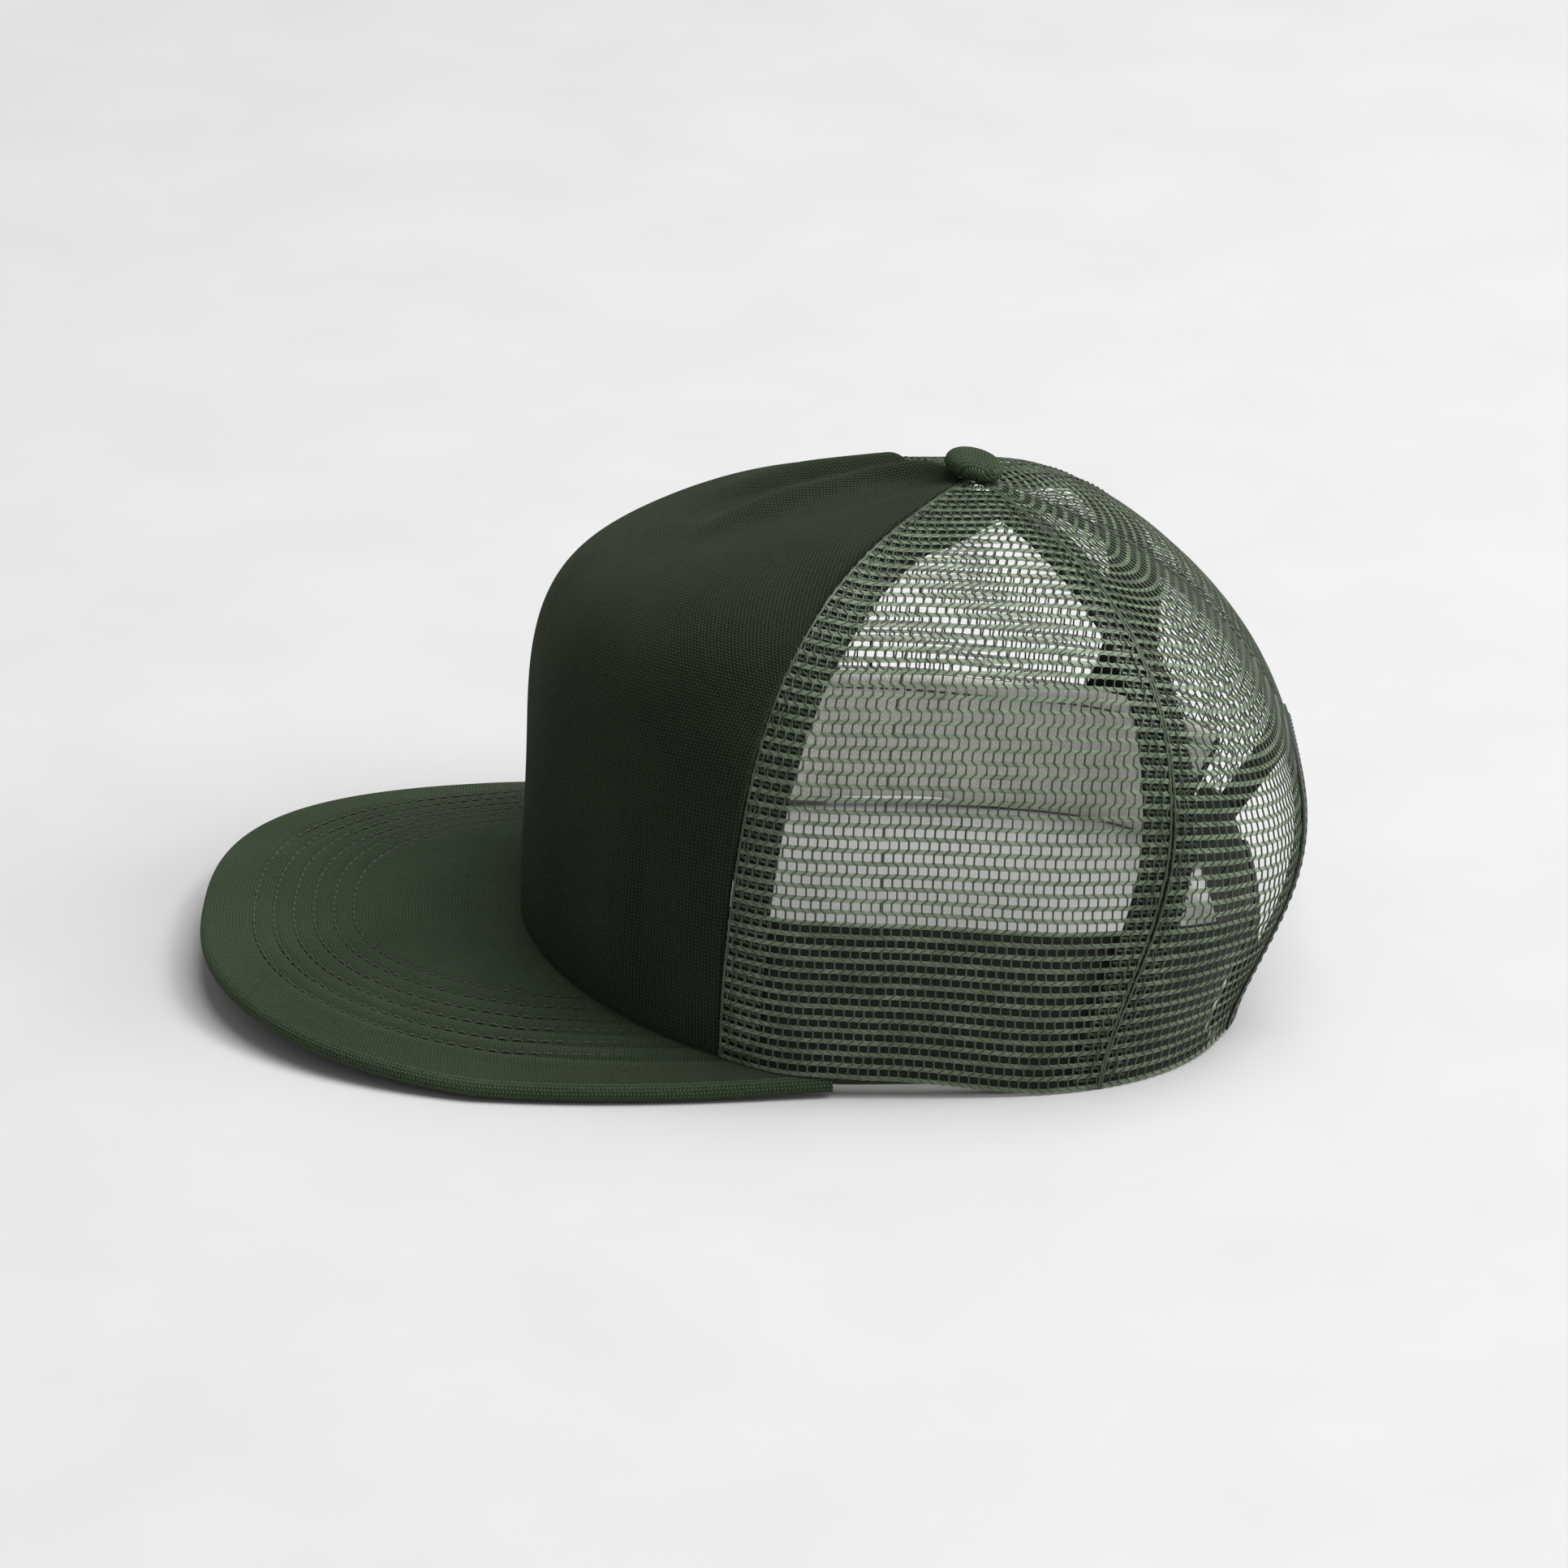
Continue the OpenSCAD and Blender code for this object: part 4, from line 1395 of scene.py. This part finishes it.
@dataclass
class Seams:
    """Tapes behind the seams, their topstitching and the binding of the opening."""

    shape: CrownShape
    arch: RearArch
    rows: int = 160
    tape_t: float = 0.8
    mesh_depth: float = 1.4
    front_depth: float = 3.55
    band_rise: float = 21.0
    tape_end: float = 85.0
    back_half: float = 8.95
    front_half: float = 5.5
    front_leaf: tuple[float, float] = (0.6, 11.5)
    rear_half: float = 7.2
    mesh_start: float = 2.4
    tape_across: int = 9
    tape_crown: float = 0.18
    front_sewn: float = 4.3
    rear_sewn: float = 5.6
    back_sewn: float = 5.2
    outer_sewn: float = 3.0
    outer_start: float = 1.5
    outer_end: float = 79.0
    outer_depth: float = 0.16
    bound_over: float = 0.45
    bound_under: float = 0.75
    bound_t: float = 0.55
    bound_lip: float = 0.13
    bound_sewn: float = 0.74
    leaf_points: int = 7
    stitch: Stitching = Stitching(length=2.2, gap=0.7, radius=0.2)

    def strip(
        self, turn: Callable, low: float, high: float, depth: float, start: float, end: float
    ) -> Surface:
        """Makes a tape along a line up the crown.

        Args:
            turn: The line's signed turn over rise.
            low: Offset of one edge from the line, in millimetres.
            high: Offset of the other edge.
            depth: Depth of its outer face.
            start: Rise of its lower end.
            end: Rise of its upper end.

        Returns:
            The tape, a little crowned across, as pressed tape is.
        """
        rise = np.linspace(start, end, self.rows)[None, :]
        share = np.linspace(0, 1, self.tape_across)[:, None]
        line = self.shape.sidestep(turn(rise), rise, mix(low, high, share))
        crown = self.tape_crown * (1 - np.square(2 * share - 1))
        outer = self.shape.layer(line, rise, depth - crown)
        inner = self.shape.layer(line, rise, depth + self.tape_t)
        return shell(outer, inner).dressed(0)

    def flat_strip(self, tape: Surface) -> Array:
        """Returns the outer face of a tape as its grid of points."""
        return tape.points[: len(tape.points) // 2].reshape(self.tape_across, self.rows, 3)

    def stitch_line(
        self, turn: Callable, offset: float, depth: float, start: float, end: float, sign: float = 1.0
    ) -> Surface:
        """Sews a row of stitches beside a line up the crown.

        Args:
            turn: The line's signed turn over rise.
            offset: How far beside it, in millimetres.
            depth: Depth of the cloth's face under the outer surface.
            start: Rise at the lower end.
            end: Rise at the upper end.
            sign: 1 for stitches seen from outside and -1 from inside.

        Returns:
            The stitches.
        """
        rise = np.linspace(start, end, self.rows)
        line = self.shape.sidestep(turn(rise), rise, offset)
        path = self.shape.layer(line, rise, depth)
        return self.stitch.along(path, sign * self.shape.outward(line, rise))

    def tape_stitches(self, turn: Callable, half: float, depth: float, start: float) -> list[Surface]:
        """Sews both edges of a tape, as seen from inside the crown.

        Args:
            turn: The seam's signed turn over rise.
            half: Offset of each row from the seam.
            depth: Depth of the tape's outer face.
            start: Rise of the rows' lower ends.

        Returns:
            The two rows.
        """
        face, end = depth + self.tape_t, self.tape_end - 1
        return [self.stitch_line(turn, x, face, start, end, -1.0).dressed(1) for x in (-half, half)]

    def topstitch(self, turn: Callable, start: float, *offsets: float) -> list[Surface]:
        """Sews rows of stitches on the outside of the crown.

        Args:
            turn: The seam's signed turn over rise.
            start: Rise of the rows' lower ends.
            offsets: How far beside the seam each row runs.

        Returns:
            The rows.
        """
        depth, end = self.outer_depth, self.outer_end
        return [self.stitch_line(turn, x, depth, start, end) for x in offsets]

    def build(self, wardrobe: Wardrobe) -> None:
        """Makes the tapes, the stitches and the binding."""
        tape, dark = wardrobe[Finish.TAPE], wardrobe[Finish.DARK_THREAD]
        outside = []
        for side, name in ((1, "left"), (-1, "right")):

            def front(rise: Array, side: int = side) -> Array:
                return side * self.shape.front_seam(rise)

            def rear(rise: Array, side: int = side) -> Array:
                return side * self.shape.rear_seam(rise)

            half, depth, start = self.front_half, self.front_depth, self.band_rise + 1
            inner = [self.strip(front, -half, half, depth, start, self.tape_end)]
            low, high = sorted(side * edge for edge in self.front_leaf)
            inner += [self.strip(front, low, high, self.mesh_depth, self.mesh_start, self.tape_end)]
            stitches = self.tape_stitches(front, self.front_sewn, depth, start + 1)
            piece = joined(inner + stitches).to_object(f"front_seam_tape_{name}_twill", [tape, dark])
            settle(piece, "seam_tape", f"front_seam_tape_{name}")
            declare(piece, [self.flat_strip(t) for t in inner], "stretched")
            half, depth = self.rear_half, self.mesh_depth
            inner = [self.strip(rear, -half, half, depth, self.mesh_start, self.tape_end)]
            stitches = self.tape_stitches(rear, self.rear_sewn, depth, start + 1)
            piece = joined(inner + stitches).to_object(f"rear_seam_tape_{name}_twill", [tape, dark])
            settle(piece, "seam_tape", f"rear_seam_tape_{name}")
            declare(piece, [self.flat_strip(t) for t in inner], "stretched")
            outside += self.topstitch(front, self.outer_start, side * self.outer_sewn)
            outside += self.topstitch(rear, self.outer_start, -self.outer_sewn, self.outer_sewn)
        self.build_centre(wardrobe, outside)
        piece = joined([s.dressed(0) for s in outside]).to_object("panel_topstitching", [dark])
        settle(piece, "seam_tape")
        self.build_binding(wardrobe)

    def build_centre(self, wardrobe: Wardrobe, outside: list[Surface]) -> None:
        """Makes the tape behind the seam at the middle of the back.

        Args:
            wardrobe: Where the materials come from.
            outside: List that the seam's outer stitches are added to.
        """

        def back(rise: Array) -> Array:
            return np.full_like(rise, 180.0)

        start = self.arch.rise + self.shape.rise_at(self.arch.binding, self.shape.falls[2]) + 1
        half, depth = self.back_half, self.mesh_depth
        parts = [self.strip(back, -half, half, depth, start, self.tape_end)]
        parts += self.tape_stitches(back, self.back_sewn, depth, start + 1)
        finishes = [wardrobe[Finish.TAPE], wardrobe[Finish.DARK_THREAD]]
        piece = joined(parts).to_object("centre_back_tape_twill", finishes)
        settle(piece, "seam_tape", "centre_back_tape")
        declare(piece, [self.flat_strip(parts[0])], "stretched")
        outside += self.topstitch(back, start + 1, -self.outer_sewn, self.outer_sewn)

    def build_binding(self, wardrobe: Wardrobe) -> None:
        """Makes the tape folded round the opening's edge, with a row of stitches on each leaf."""
        q = np.linspace(-1, 1, 181)[:, None] * self.arch.reach
        over, under = -self.bound_over, self.mesh_depth + self.bound_under
        leaf = np.linspace(1, 0, self.leaf_points)
        flat = np.ones(self.leaf_points)
        bend = np.linspace(0, 1, 9)[1:-1]
        outs = np.concatenate([leaf, -self.bound_lip * np.sin(np.pi * bend), leaf[::-1]])[None, :]
        depths = np.concatenate([over * flat, mix(over, under, bend), under * flat])
        inward = self.bound_t * np.concatenate([flat, np.cos(np.pi * bend), -flat])
        tuck = np.concatenate([0 * flat, 0.06 * np.sin(np.pi * bend), 0 * flat])
        turn, rise = self.arch.spot(q, outs)
        outer = self.shape.layer(turn, rise, depths[None, :])
        turn, rise = self.arch.spot(q, outs + tuck)
        inner = self.shape.layer(turn, rise, (depths + inward)[None, :])
        parts = [shell(outer, inner).dressed(0)]
        line = np.linspace(-1, 1, 400) * self.arch.reach
        for depth, sign in ((over, 1.0), (under, -1.0)):
            turn, rise = self.arch.spot(line, np.full_like(line, self.bound_sewn))
            path = self.shape.layer(turn, rise, depth)
            parts.append(self.stitch.along(path, sign * self.shape.outward(turn, rise)).dressed(1))
        finishes = [wardrobe[Finish.BINDING], wardrobe[Finish.DARK_THREAD]]
        piece = joined(parts).to_object("opening_binding_twill", finishes)
        settle(piece, "binding", "opening_binding")
        declare(piece, [outer.swapaxes(0, 1)], "folded")


@dataclass
class Sweatband:
    """Padded band inside the rim: dark against the crown, pale against the head."""

    shape: CrownShape
    height: float = 40.0
    depth: float = 3.95
    thickness: float = 2.0
    back_x: float = 60.2
    hang: float = 2.4
    padding: float = 0.55
    top_roll: float = 0.25
    stitch_pull: float = 0.7
    edge_round: float = 0.85
    pucker: float = 0.1
    front_clear: float = 2.8
    sewn_share: float = 0.87
    stitch: Stitching = Stitching(length=2.4, gap=0.8, radius=0.22)

    def build(self, wardrobe: Wardrobe) -> None:
        """Makes the band.

        Args:
            wardrobe: Where the materials come from.
        """
        end = 180 - self.shape.back_turn(self.back_x)
        top = self.shape.rise_at(self.height, self.shape.falls[1])
        turn = np.linspace(-end, end, 260)[:, None]
        share = np.linspace(0, 1, 34)[None, :]
        bulge = self.padding * np.sin(np.pi * share) ** 0.6 + self.top_roll * hump(share - 0.95, 0.05)
        pinch = self.stitch_pull * (hump(share - self.sewn_share, 0.03) + hump(share - 0.04, 0.03))
        rounded = self.edge_round * (ease((share - 0.96) / 0.04) + ease((0.03 - share) / 0.03))
        pucker = self.pucker * np.sin(turn * 2.1) * hump(share - 0.9, 0.2)
        rise = top * share
        sewn = self.front_clear * ease((np.abs(turn) - 66) / 5) * (1 - ease(share / 0.12))
        outer = self.shape.layer(turn, rise, self.depth + rounded - sewn)
        depth = self.depth + self.thickness + bulge - pinch - rounded + pucker
        inner = self.shape.layer(turn, rise, depth)
        hang = self.hang * (1 - ease(share / 0.15)) * ease((96 - np.abs(turn)) / 10)
        outer[..., 2] -= hang
        inner[..., 2] -= hang
        parts = [shell(outer, inner)]
        line = np.linspace(-end + 0.5, end - 0.5, 700)
        for sign, depth in ((-1.0, self.thickness - 0.2), (1.0, 0.0)):
            rise = np.full_like(line, top * self.sewn_share)
            path = self.shape.layer(line, rise, self.depth + depth)
            parts.append(self.stitch.along(path, sign * self.shape.outward(line, rise)).dressed(2))
        finishes = [wardrobe[Finish.BAND_OUT], wardrobe[Finish.BAND_IN], wardrobe[Finish.DARK_THREAD]]
        piece = joined(parts).to_object("sweatband_padded", finishes)
        settle(piece, "sweatband", "sweatband")


# --- the bill ---


@dataclass
class Bill:
    """Stiff board between two cloth covers, with a rolled edge and rows of stitching."""

    shape: CrownShape
    reach: float = 173.0
    widest: float = 45.0
    bluntness: float = 2.5
    corner: float = 70.0
    draw_in: float = 0.065
    run_back: float = 34.0
    root_turn: float = 84.0
    tuck: float = 1.0
    cloth_t: float = 0.9
    columns: int = 301
    rows: int = 6
    first_row: float = 13.5
    row_gap: float = 5.1
    stitch_pull: float = 0.42
    pull_half: float = 0.75
    puff: float = 0.12
    puff_half: float = 1.2
    root_share: float = 0.07
    stitch: Stitching = Stitching(length=2.7, gap=0.8, radius=0.27)

    def edge(self, turn: Array, inset: Array | float) -> Array:
        """Works out the bill's edge, or a line inset from it.

        Args:
            turn: From -90 at the right corner to 90 at the left one.
            inset: How far inside the edge the line runs.

        Returns:
            x and y of a blunt ellipse that draws in and runs back past the corners.
        """
        a = np.radians(np.abs(turn))
        power = 2 / self.bluntness
        back = np.clip((np.abs(turn) - self.corner) / (90 - self.corner), 0, None)
        half = (self.shape.arch.half_width - inset) * (1 - self.draw_in * back * back)
        x = np.sign(turn) * half * np.abs(np.sin(a)) ** power
        ahead = np.abs(np.cos(a)) ** power
        y = -self.widest - (self.reach - self.widest - inset) * ahead + self.run_back * back
        return np.stack(np.broadcast_arrays(x, y), -1)

    def root(self, turn: Array) -> Array:
        """Returns x and y of the bill's inner edge, just inside the crown's rim."""
        a = np.clip(np.abs(turn) * self.root_turn / 90, 1e-4, None)
        width, front = self.shape.half_width - self.tuck, self.shape.front - self.tuck
        x, y = self.shape.plan(a, width, front, self.shape.rear)
        return np.stack([np.sign(turn) * x, y], -1)

    def inset_of(self, x: Array, y: Array) -> Array:
        """Finds how far inside the edge a place lies.

        Args:
            x: Places across the bill.
            y: Places along it.

        Returns:
            The inset whose blunt ellipse passes through the place, by halving.
        """
        back = np.clip((y + self.widest) / self.run_back, 0, 1)
        wide = np.abs(x) / (1 - self.draw_in * back * back)
        ahead = np.clip(-self.widest - y, 0, None)
        low, high = np.zeros_like(x), np.full_like(x, 90.0)
        for _ in range(26):
            middle = (low + high) / 2
            across = (wide / (self.shape.arch.half_width - middle)) ** self.bluntness
            along = (ahead / (self.reach - self.widest - middle)) ** self.bluntness
            inside = across + along < 1
            low, high = np.where(inside, middle, low), np.where(inside, high, middle)
        return low

    def quilt(self, x: Array, y: Array) -> Array:
        """Returns how far the cloth is pulled in by the stitching and puffs between its rows."""
        inset = self.inset_of(x, y)
        place = (inset - self.first_row) / self.row_gap
        nearest = np.clip(np.round(place), 0, self.rows - 1)
        off = (place - nearest) * self.row_gap
        between = np.abs(off) - self.row_gap / 2
        return self.stitch_pull * hump(off, self.pull_half) - self.puff * hump(between, self.puff_half)

    def wobble(self, x: Array, y: Array) -> Array:
        """Returns slow waves of the cloth over the board."""
        return 0.12 * np.sin(x / 13 + y / 21) + 0.08 * np.sin(x / 7 - y / 11 + 2)

    def covers(self) -> tuple[Surface, Surface]:
        """Works out the two covers.

        Returns:
            The top cover, which goes round the edge in a half circle and a little way
            under, and the under cover, which ends inside it.
        """
        turn = np.linspace(90, -90, self.columns)[:, None]
        roll = self.shape.arch.thickness / 2
        share = np.linspace(0, 1, 110)[None, :]
        flat = mix(self.root(turn), self.edge(turn, roll), share[..., None])
        x, y = flat[..., 0], flat[..., 1]
        pull = self.quilt(x, y) + self.wobble(x, y) * ease((1 - share) * 12)
        pull = pull * ease(share / self.root_share)
        top = np.stack([x, y, self.shape.arch.over(x) - pull], -1)
        bend = np.radians(np.linspace(90, -90, 13)[None, 1:])
        rim = self.edge(turn, roll - roll * 1.04 * np.cos(bend))
        middle = self.shape.arch.under(rim[..., 0]) + roll
        turned = np.concatenate([rim, (middle + roll * np.sin(bend))[..., None]], -1)
        under = self.edge(turn, roll + np.linspace(0.6, 1.8, 3)[None, :])
        lift = self.shape.arch.under(under[..., 0]) + np.array([0.0, 0.1, 0.45])
        tucked = np.concatenate([under, lift[..., None]], -1)
        outer = np.concatenate([top, turned, tucked], 1)
        along = np.gradient(outer, axis=0)
        out = unit(np.cross(along, np.gradient(outer, axis=1)))
        flip = np.sign(out[self.columns // 2, 40, 2])
        inner = outer - flip * out * self.cloth_t * 0.8
        upper = shell(outer, inner)
        share = np.linspace(0, 1, 90)[None, :]
        flat = mix(self.root(turn), self.edge(turn, roll + 0.9), share[..., None])
        x, y = flat[..., 0], flat[..., 1]
        pull = self.quilt(x, y) + 0.12 + 0.5 * ease((share - 0.97) / 0.03)
        low = np.stack([x, y, self.shape.arch.under(x) + pull], -1)
        high = np.stack([x, y, self.shape.arch.under(x) + self.cloth_t + 0.1], -1)
        return upper.dressed(0), shell(low, high).dressed(0)

    def outer_grid(self, cover: Surface) -> Array:
        """Returns the outer face of a cover as its grid of points."""
        return cover.points[: len(cover.points) // 2].reshape(self.columns, -1, 3)

    def sew(self, upper: bool) -> Surface:
        """Sews the rows of stitches.

        Args:
            upper: Whether they are the ones on the upper face.

        Returns:
            Stitches along each inset line, as far back as the crown's wall.
        """
        rows = []
        for k in range(self.rows):
            line = self.edge(np.linspace(-90, 90, 900), self.first_row + k * self.row_gap)
            x, y = line[:, 0], line[:, 1]
            turn = np.degrees(np.arctan2(np.abs(x) / self.shape.half_width, -y / self.shape.front))
            turn = np.clip(turn, 0.01, 120)
            wx, wy = self.shape.plan(turn, self.shape.half_width, self.shape.front, self.shape.rear)
            ahead = np.hypot(x, y) > np.hypot(wx, wy) + 0.8
            z = self.shape.arch.over(x) - 0.3 if upper else self.shape.arch.under(x) + 0.42
            path = np.column_stack([x, y, z])[ahead]
            up = np.tile([0.0, 0.0, 1.0 if upper else -1.0], (len(path), 1))
            rows.append(self.stitch.along(path, up))
        return joined(rows)

    def build(self, wardrobe: Wardrobe) -> None:
        """Makes the covers with their stitches and gives the board its plastic."""
        upper, lower = self.covers()
        thread = wardrobe[Finish.THREAD]
        piece = joined([upper, self.sew(True).dressed(1)]).to_object(
            "bill_top_cover_knit", [wardrobe[Finish.BILL_PAINTED_LIGHT], thread]
        )
        settle(piece, "bill_knit", "bill_top_cover")
        declare(piece, [self.outer_grid(upper)], "folded", "bill_board")
        piece = joined([lower, self.sew(False).dressed(1)]).to_object(
            "bill_under_cover_twill", [wardrobe[Finish.LINING], thread]
        )
        settle(piece, "bill_lining", "bill_under_cover")
        declare(piece, [self.outer_grid(lower)], "stretched")
        wardrobe.dress("bill_board", Finish.BOARD)


# --- the button and the strap ---


@dataclass
class TopButton:
    """Cloth-covered button on a rivet."""

    shape: CrownShape
    radius: float = 7.5
    height: float = 5.0
    clear: float = 0.6
    tilt: float = 14.0
    around: int = 96
    pleats: int = 22
    skirt: float = 1.9
    bluntness: float = 2.5
    seat_share: float = 0.28
    gather: float = 0.16

    def build(self, wardrobe: Wardrobe) -> None:
        """Makes the button.

        Args:
            wardrobe: Where the materials come from.
        """
        angle = np.linspace(0, 2 * np.pi, self.around, endpoint=False)
        lift = np.radians(np.concatenate([[-88.0, -60.0, -35.0], np.linspace(-12, 89.2, 30)]))
        power = 2 / self.bluntness
        out = self.radius * np.abs(np.cos(lift)) ** power
        s = np.sign(np.sin(lift)) * np.abs(np.sin(lift)) ** power
        drop = self.height * self.seat_share
        z = self.clear + drop + np.where(s > 0, (self.height - drop) * s, drop * self.skirt * s)
        gather = self.gather * ease((0.25 - s) / 0.6)[:, None] * np.cos(self.pleats * angle)[None, :]
        ring = out[:, None] - gather
        spots = (ring * np.cos(angle), ring * np.sin(angle), z[:, None])
        spots = np.stack(np.broadcast_arrays(*spots), -1)
        t = np.radians(self.tilt)
        y = spots[..., 1] * np.cos(t) + spots[..., 2] * np.sin(t)
        up = -spots[..., 1] * np.sin(t) + spots[..., 2] * np.cos(t)
        placed = np.stack([spots[..., 0], y + self.shape.apex_back, up + self.shape.height], -1)
        cloth = np.stack([spots[..., 0], spots[..., 1] + 0.9 * spots[..., 2]], -1)
        cover = tubes(placed[None], cloth[None]).dressed(0)
        piece = cover.to_object("top_button_covered", [wardrobe[Finish.BUTTON_PAINTED_LIGHT]])
        settle(piece, "button_knit", "top_button")
        wardrobe.dress("button_shank", Finish.RIVET)
        wardrobe.dress("button_back", Finish.RIVET)


@dataclass
class Fastener:
    """Snap strap: both halves and the tabs that are sewn in."""

    nodes: tuple[str, ...] = ("hole_strap", "peg_strap", "strap_tab_left", "strap_tab_right")

    def build(self, wardrobe: Wardrobe) -> None:
        """Gives the strap's CAD parts their plastic."""
        for node in self.nodes:
            wardrobe.dress(node, Finish.STRAP)


# --- studio ---


@dataclass
class Studio:
    """Pale sweep, soft lights and the camera."""

    elevation: float = 24.0
    distance: float = 1.5
    focal: float = 132.8
    aim_along: float = -0.023
    aim_up: float = 0.0405
    sensor: float = 36.0
    paper_half: float = 4000.0
    paper_drop: float = 0.4
    paper_t: float = 5.0
    room_light: float = 0.3
    lit_point: tuple[float, float, float] = (0.0, -0.02, 0.06)

    def floor(self, wardrobe: Wardrobe) -> None:
        """Lays the paper just under the cap."""
        line = np.linspace(-self.paper_half, self.paper_half, 9)
        x, y = np.meshgrid(line, line, indexing="ij")
        top = np.stack([x, y, np.full_like(x, -self.paper_drop)], -1)
        below = top - np.array([0, 0, self.paper_t])
        sheet = shell(top, below).dressed(0).to_object("paper_sweep", [wardrobe[Finish.PAPER]])

    def lamp(self, name: str, place: tuple[float, float, float], size: float, power: float) -> None:
        """Hangs a square soft light that points at the cap.

        Args:
            name: Name of the light.
            place: Where it hangs, in metres.
            size: Its side, in metres.
            power: Its power, in watts.
        """
        light = bpy.data.lights.new(name, "AREA")
        light.size = size
        light.energy = power
        lamp = bpy.data.objects.new(name, light)
        lamp.location = place
        x, y, z = np.array(self.lit_point) - np.array(place)
        lamp.rotation_euler = (math.atan2(math.hypot(x, y), -z), 0.0, math.atan2(y, x) - math.pi / 2)
        bpy.context.scene.collection.objects.link(lamp)

    def build(self, wardrobe: Wardrobe) -> None:
        """Sets the floor, the lights, the surrounding light and the camera."""
        scene = bpy.context.scene
        self.floor(wardrobe)
        world = bpy.data.worlds.new("soft_room")
        world.use_nodes = True
        background = world.node_tree.nodes["Background"]
        background.inputs["Color"].default_value = (1.0, 1.0, 1.0, 1.0)
        background.inputs["Strength"].default_value = self.room_light
        scene.world = world
        self.lamp("key_softbox", (0.5, 3.2, 3.0), 2.2, 165.0)
        self.lamp("top_softbox", (-0.2, 0.8, 3.1), 2.4, 88.0)
        camera = bpy.data.cameras.new("camera")
        camera.lens = self.focal
        camera.sensor_width = self.sensor
        camera.clip_end = 50.0
        e = math.radians(self.elevation)
        up = np.array([-math.sin(e), 0.0, math.cos(e)])
        aim = np.array([0.0, self.aim_along, 0.0]) + self.aim_up * up
        eye = bpy.data.objects.new("camera", camera)
        eye.location = aim + self.distance * np.array([math.cos(e), 0.0, math.sin(e)])
        eye.rotation_euler = (math.pi / 2 - e, 0.0, math.pi / 2)
        scene.collection.objects.link(eye)
        scene.camera = eye
        scene.view_settings.view_transform = "Standard"


def main() -> None:
    """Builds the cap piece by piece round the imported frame."""
    logging.basicConfig(level=logging.INFO, format="%(name)s %(message)s")
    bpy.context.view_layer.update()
    wardrobe = Wardrobe()
    shape = CrownShape()
    arch = RearArch(shape)
    for part in (
        Studio(),
        FrontPanel(shape),
        MeshPanels(shape, arch),
        Seams(shape, arch),
        Sweatband(shape),
        Bill(shape),
        TopButton(shape),
        Fastener(),
    ):
        part.build(wardrobe)
        LOG.info("%s done", type(part).__name__)


if __name__ == "__main__":
    main()
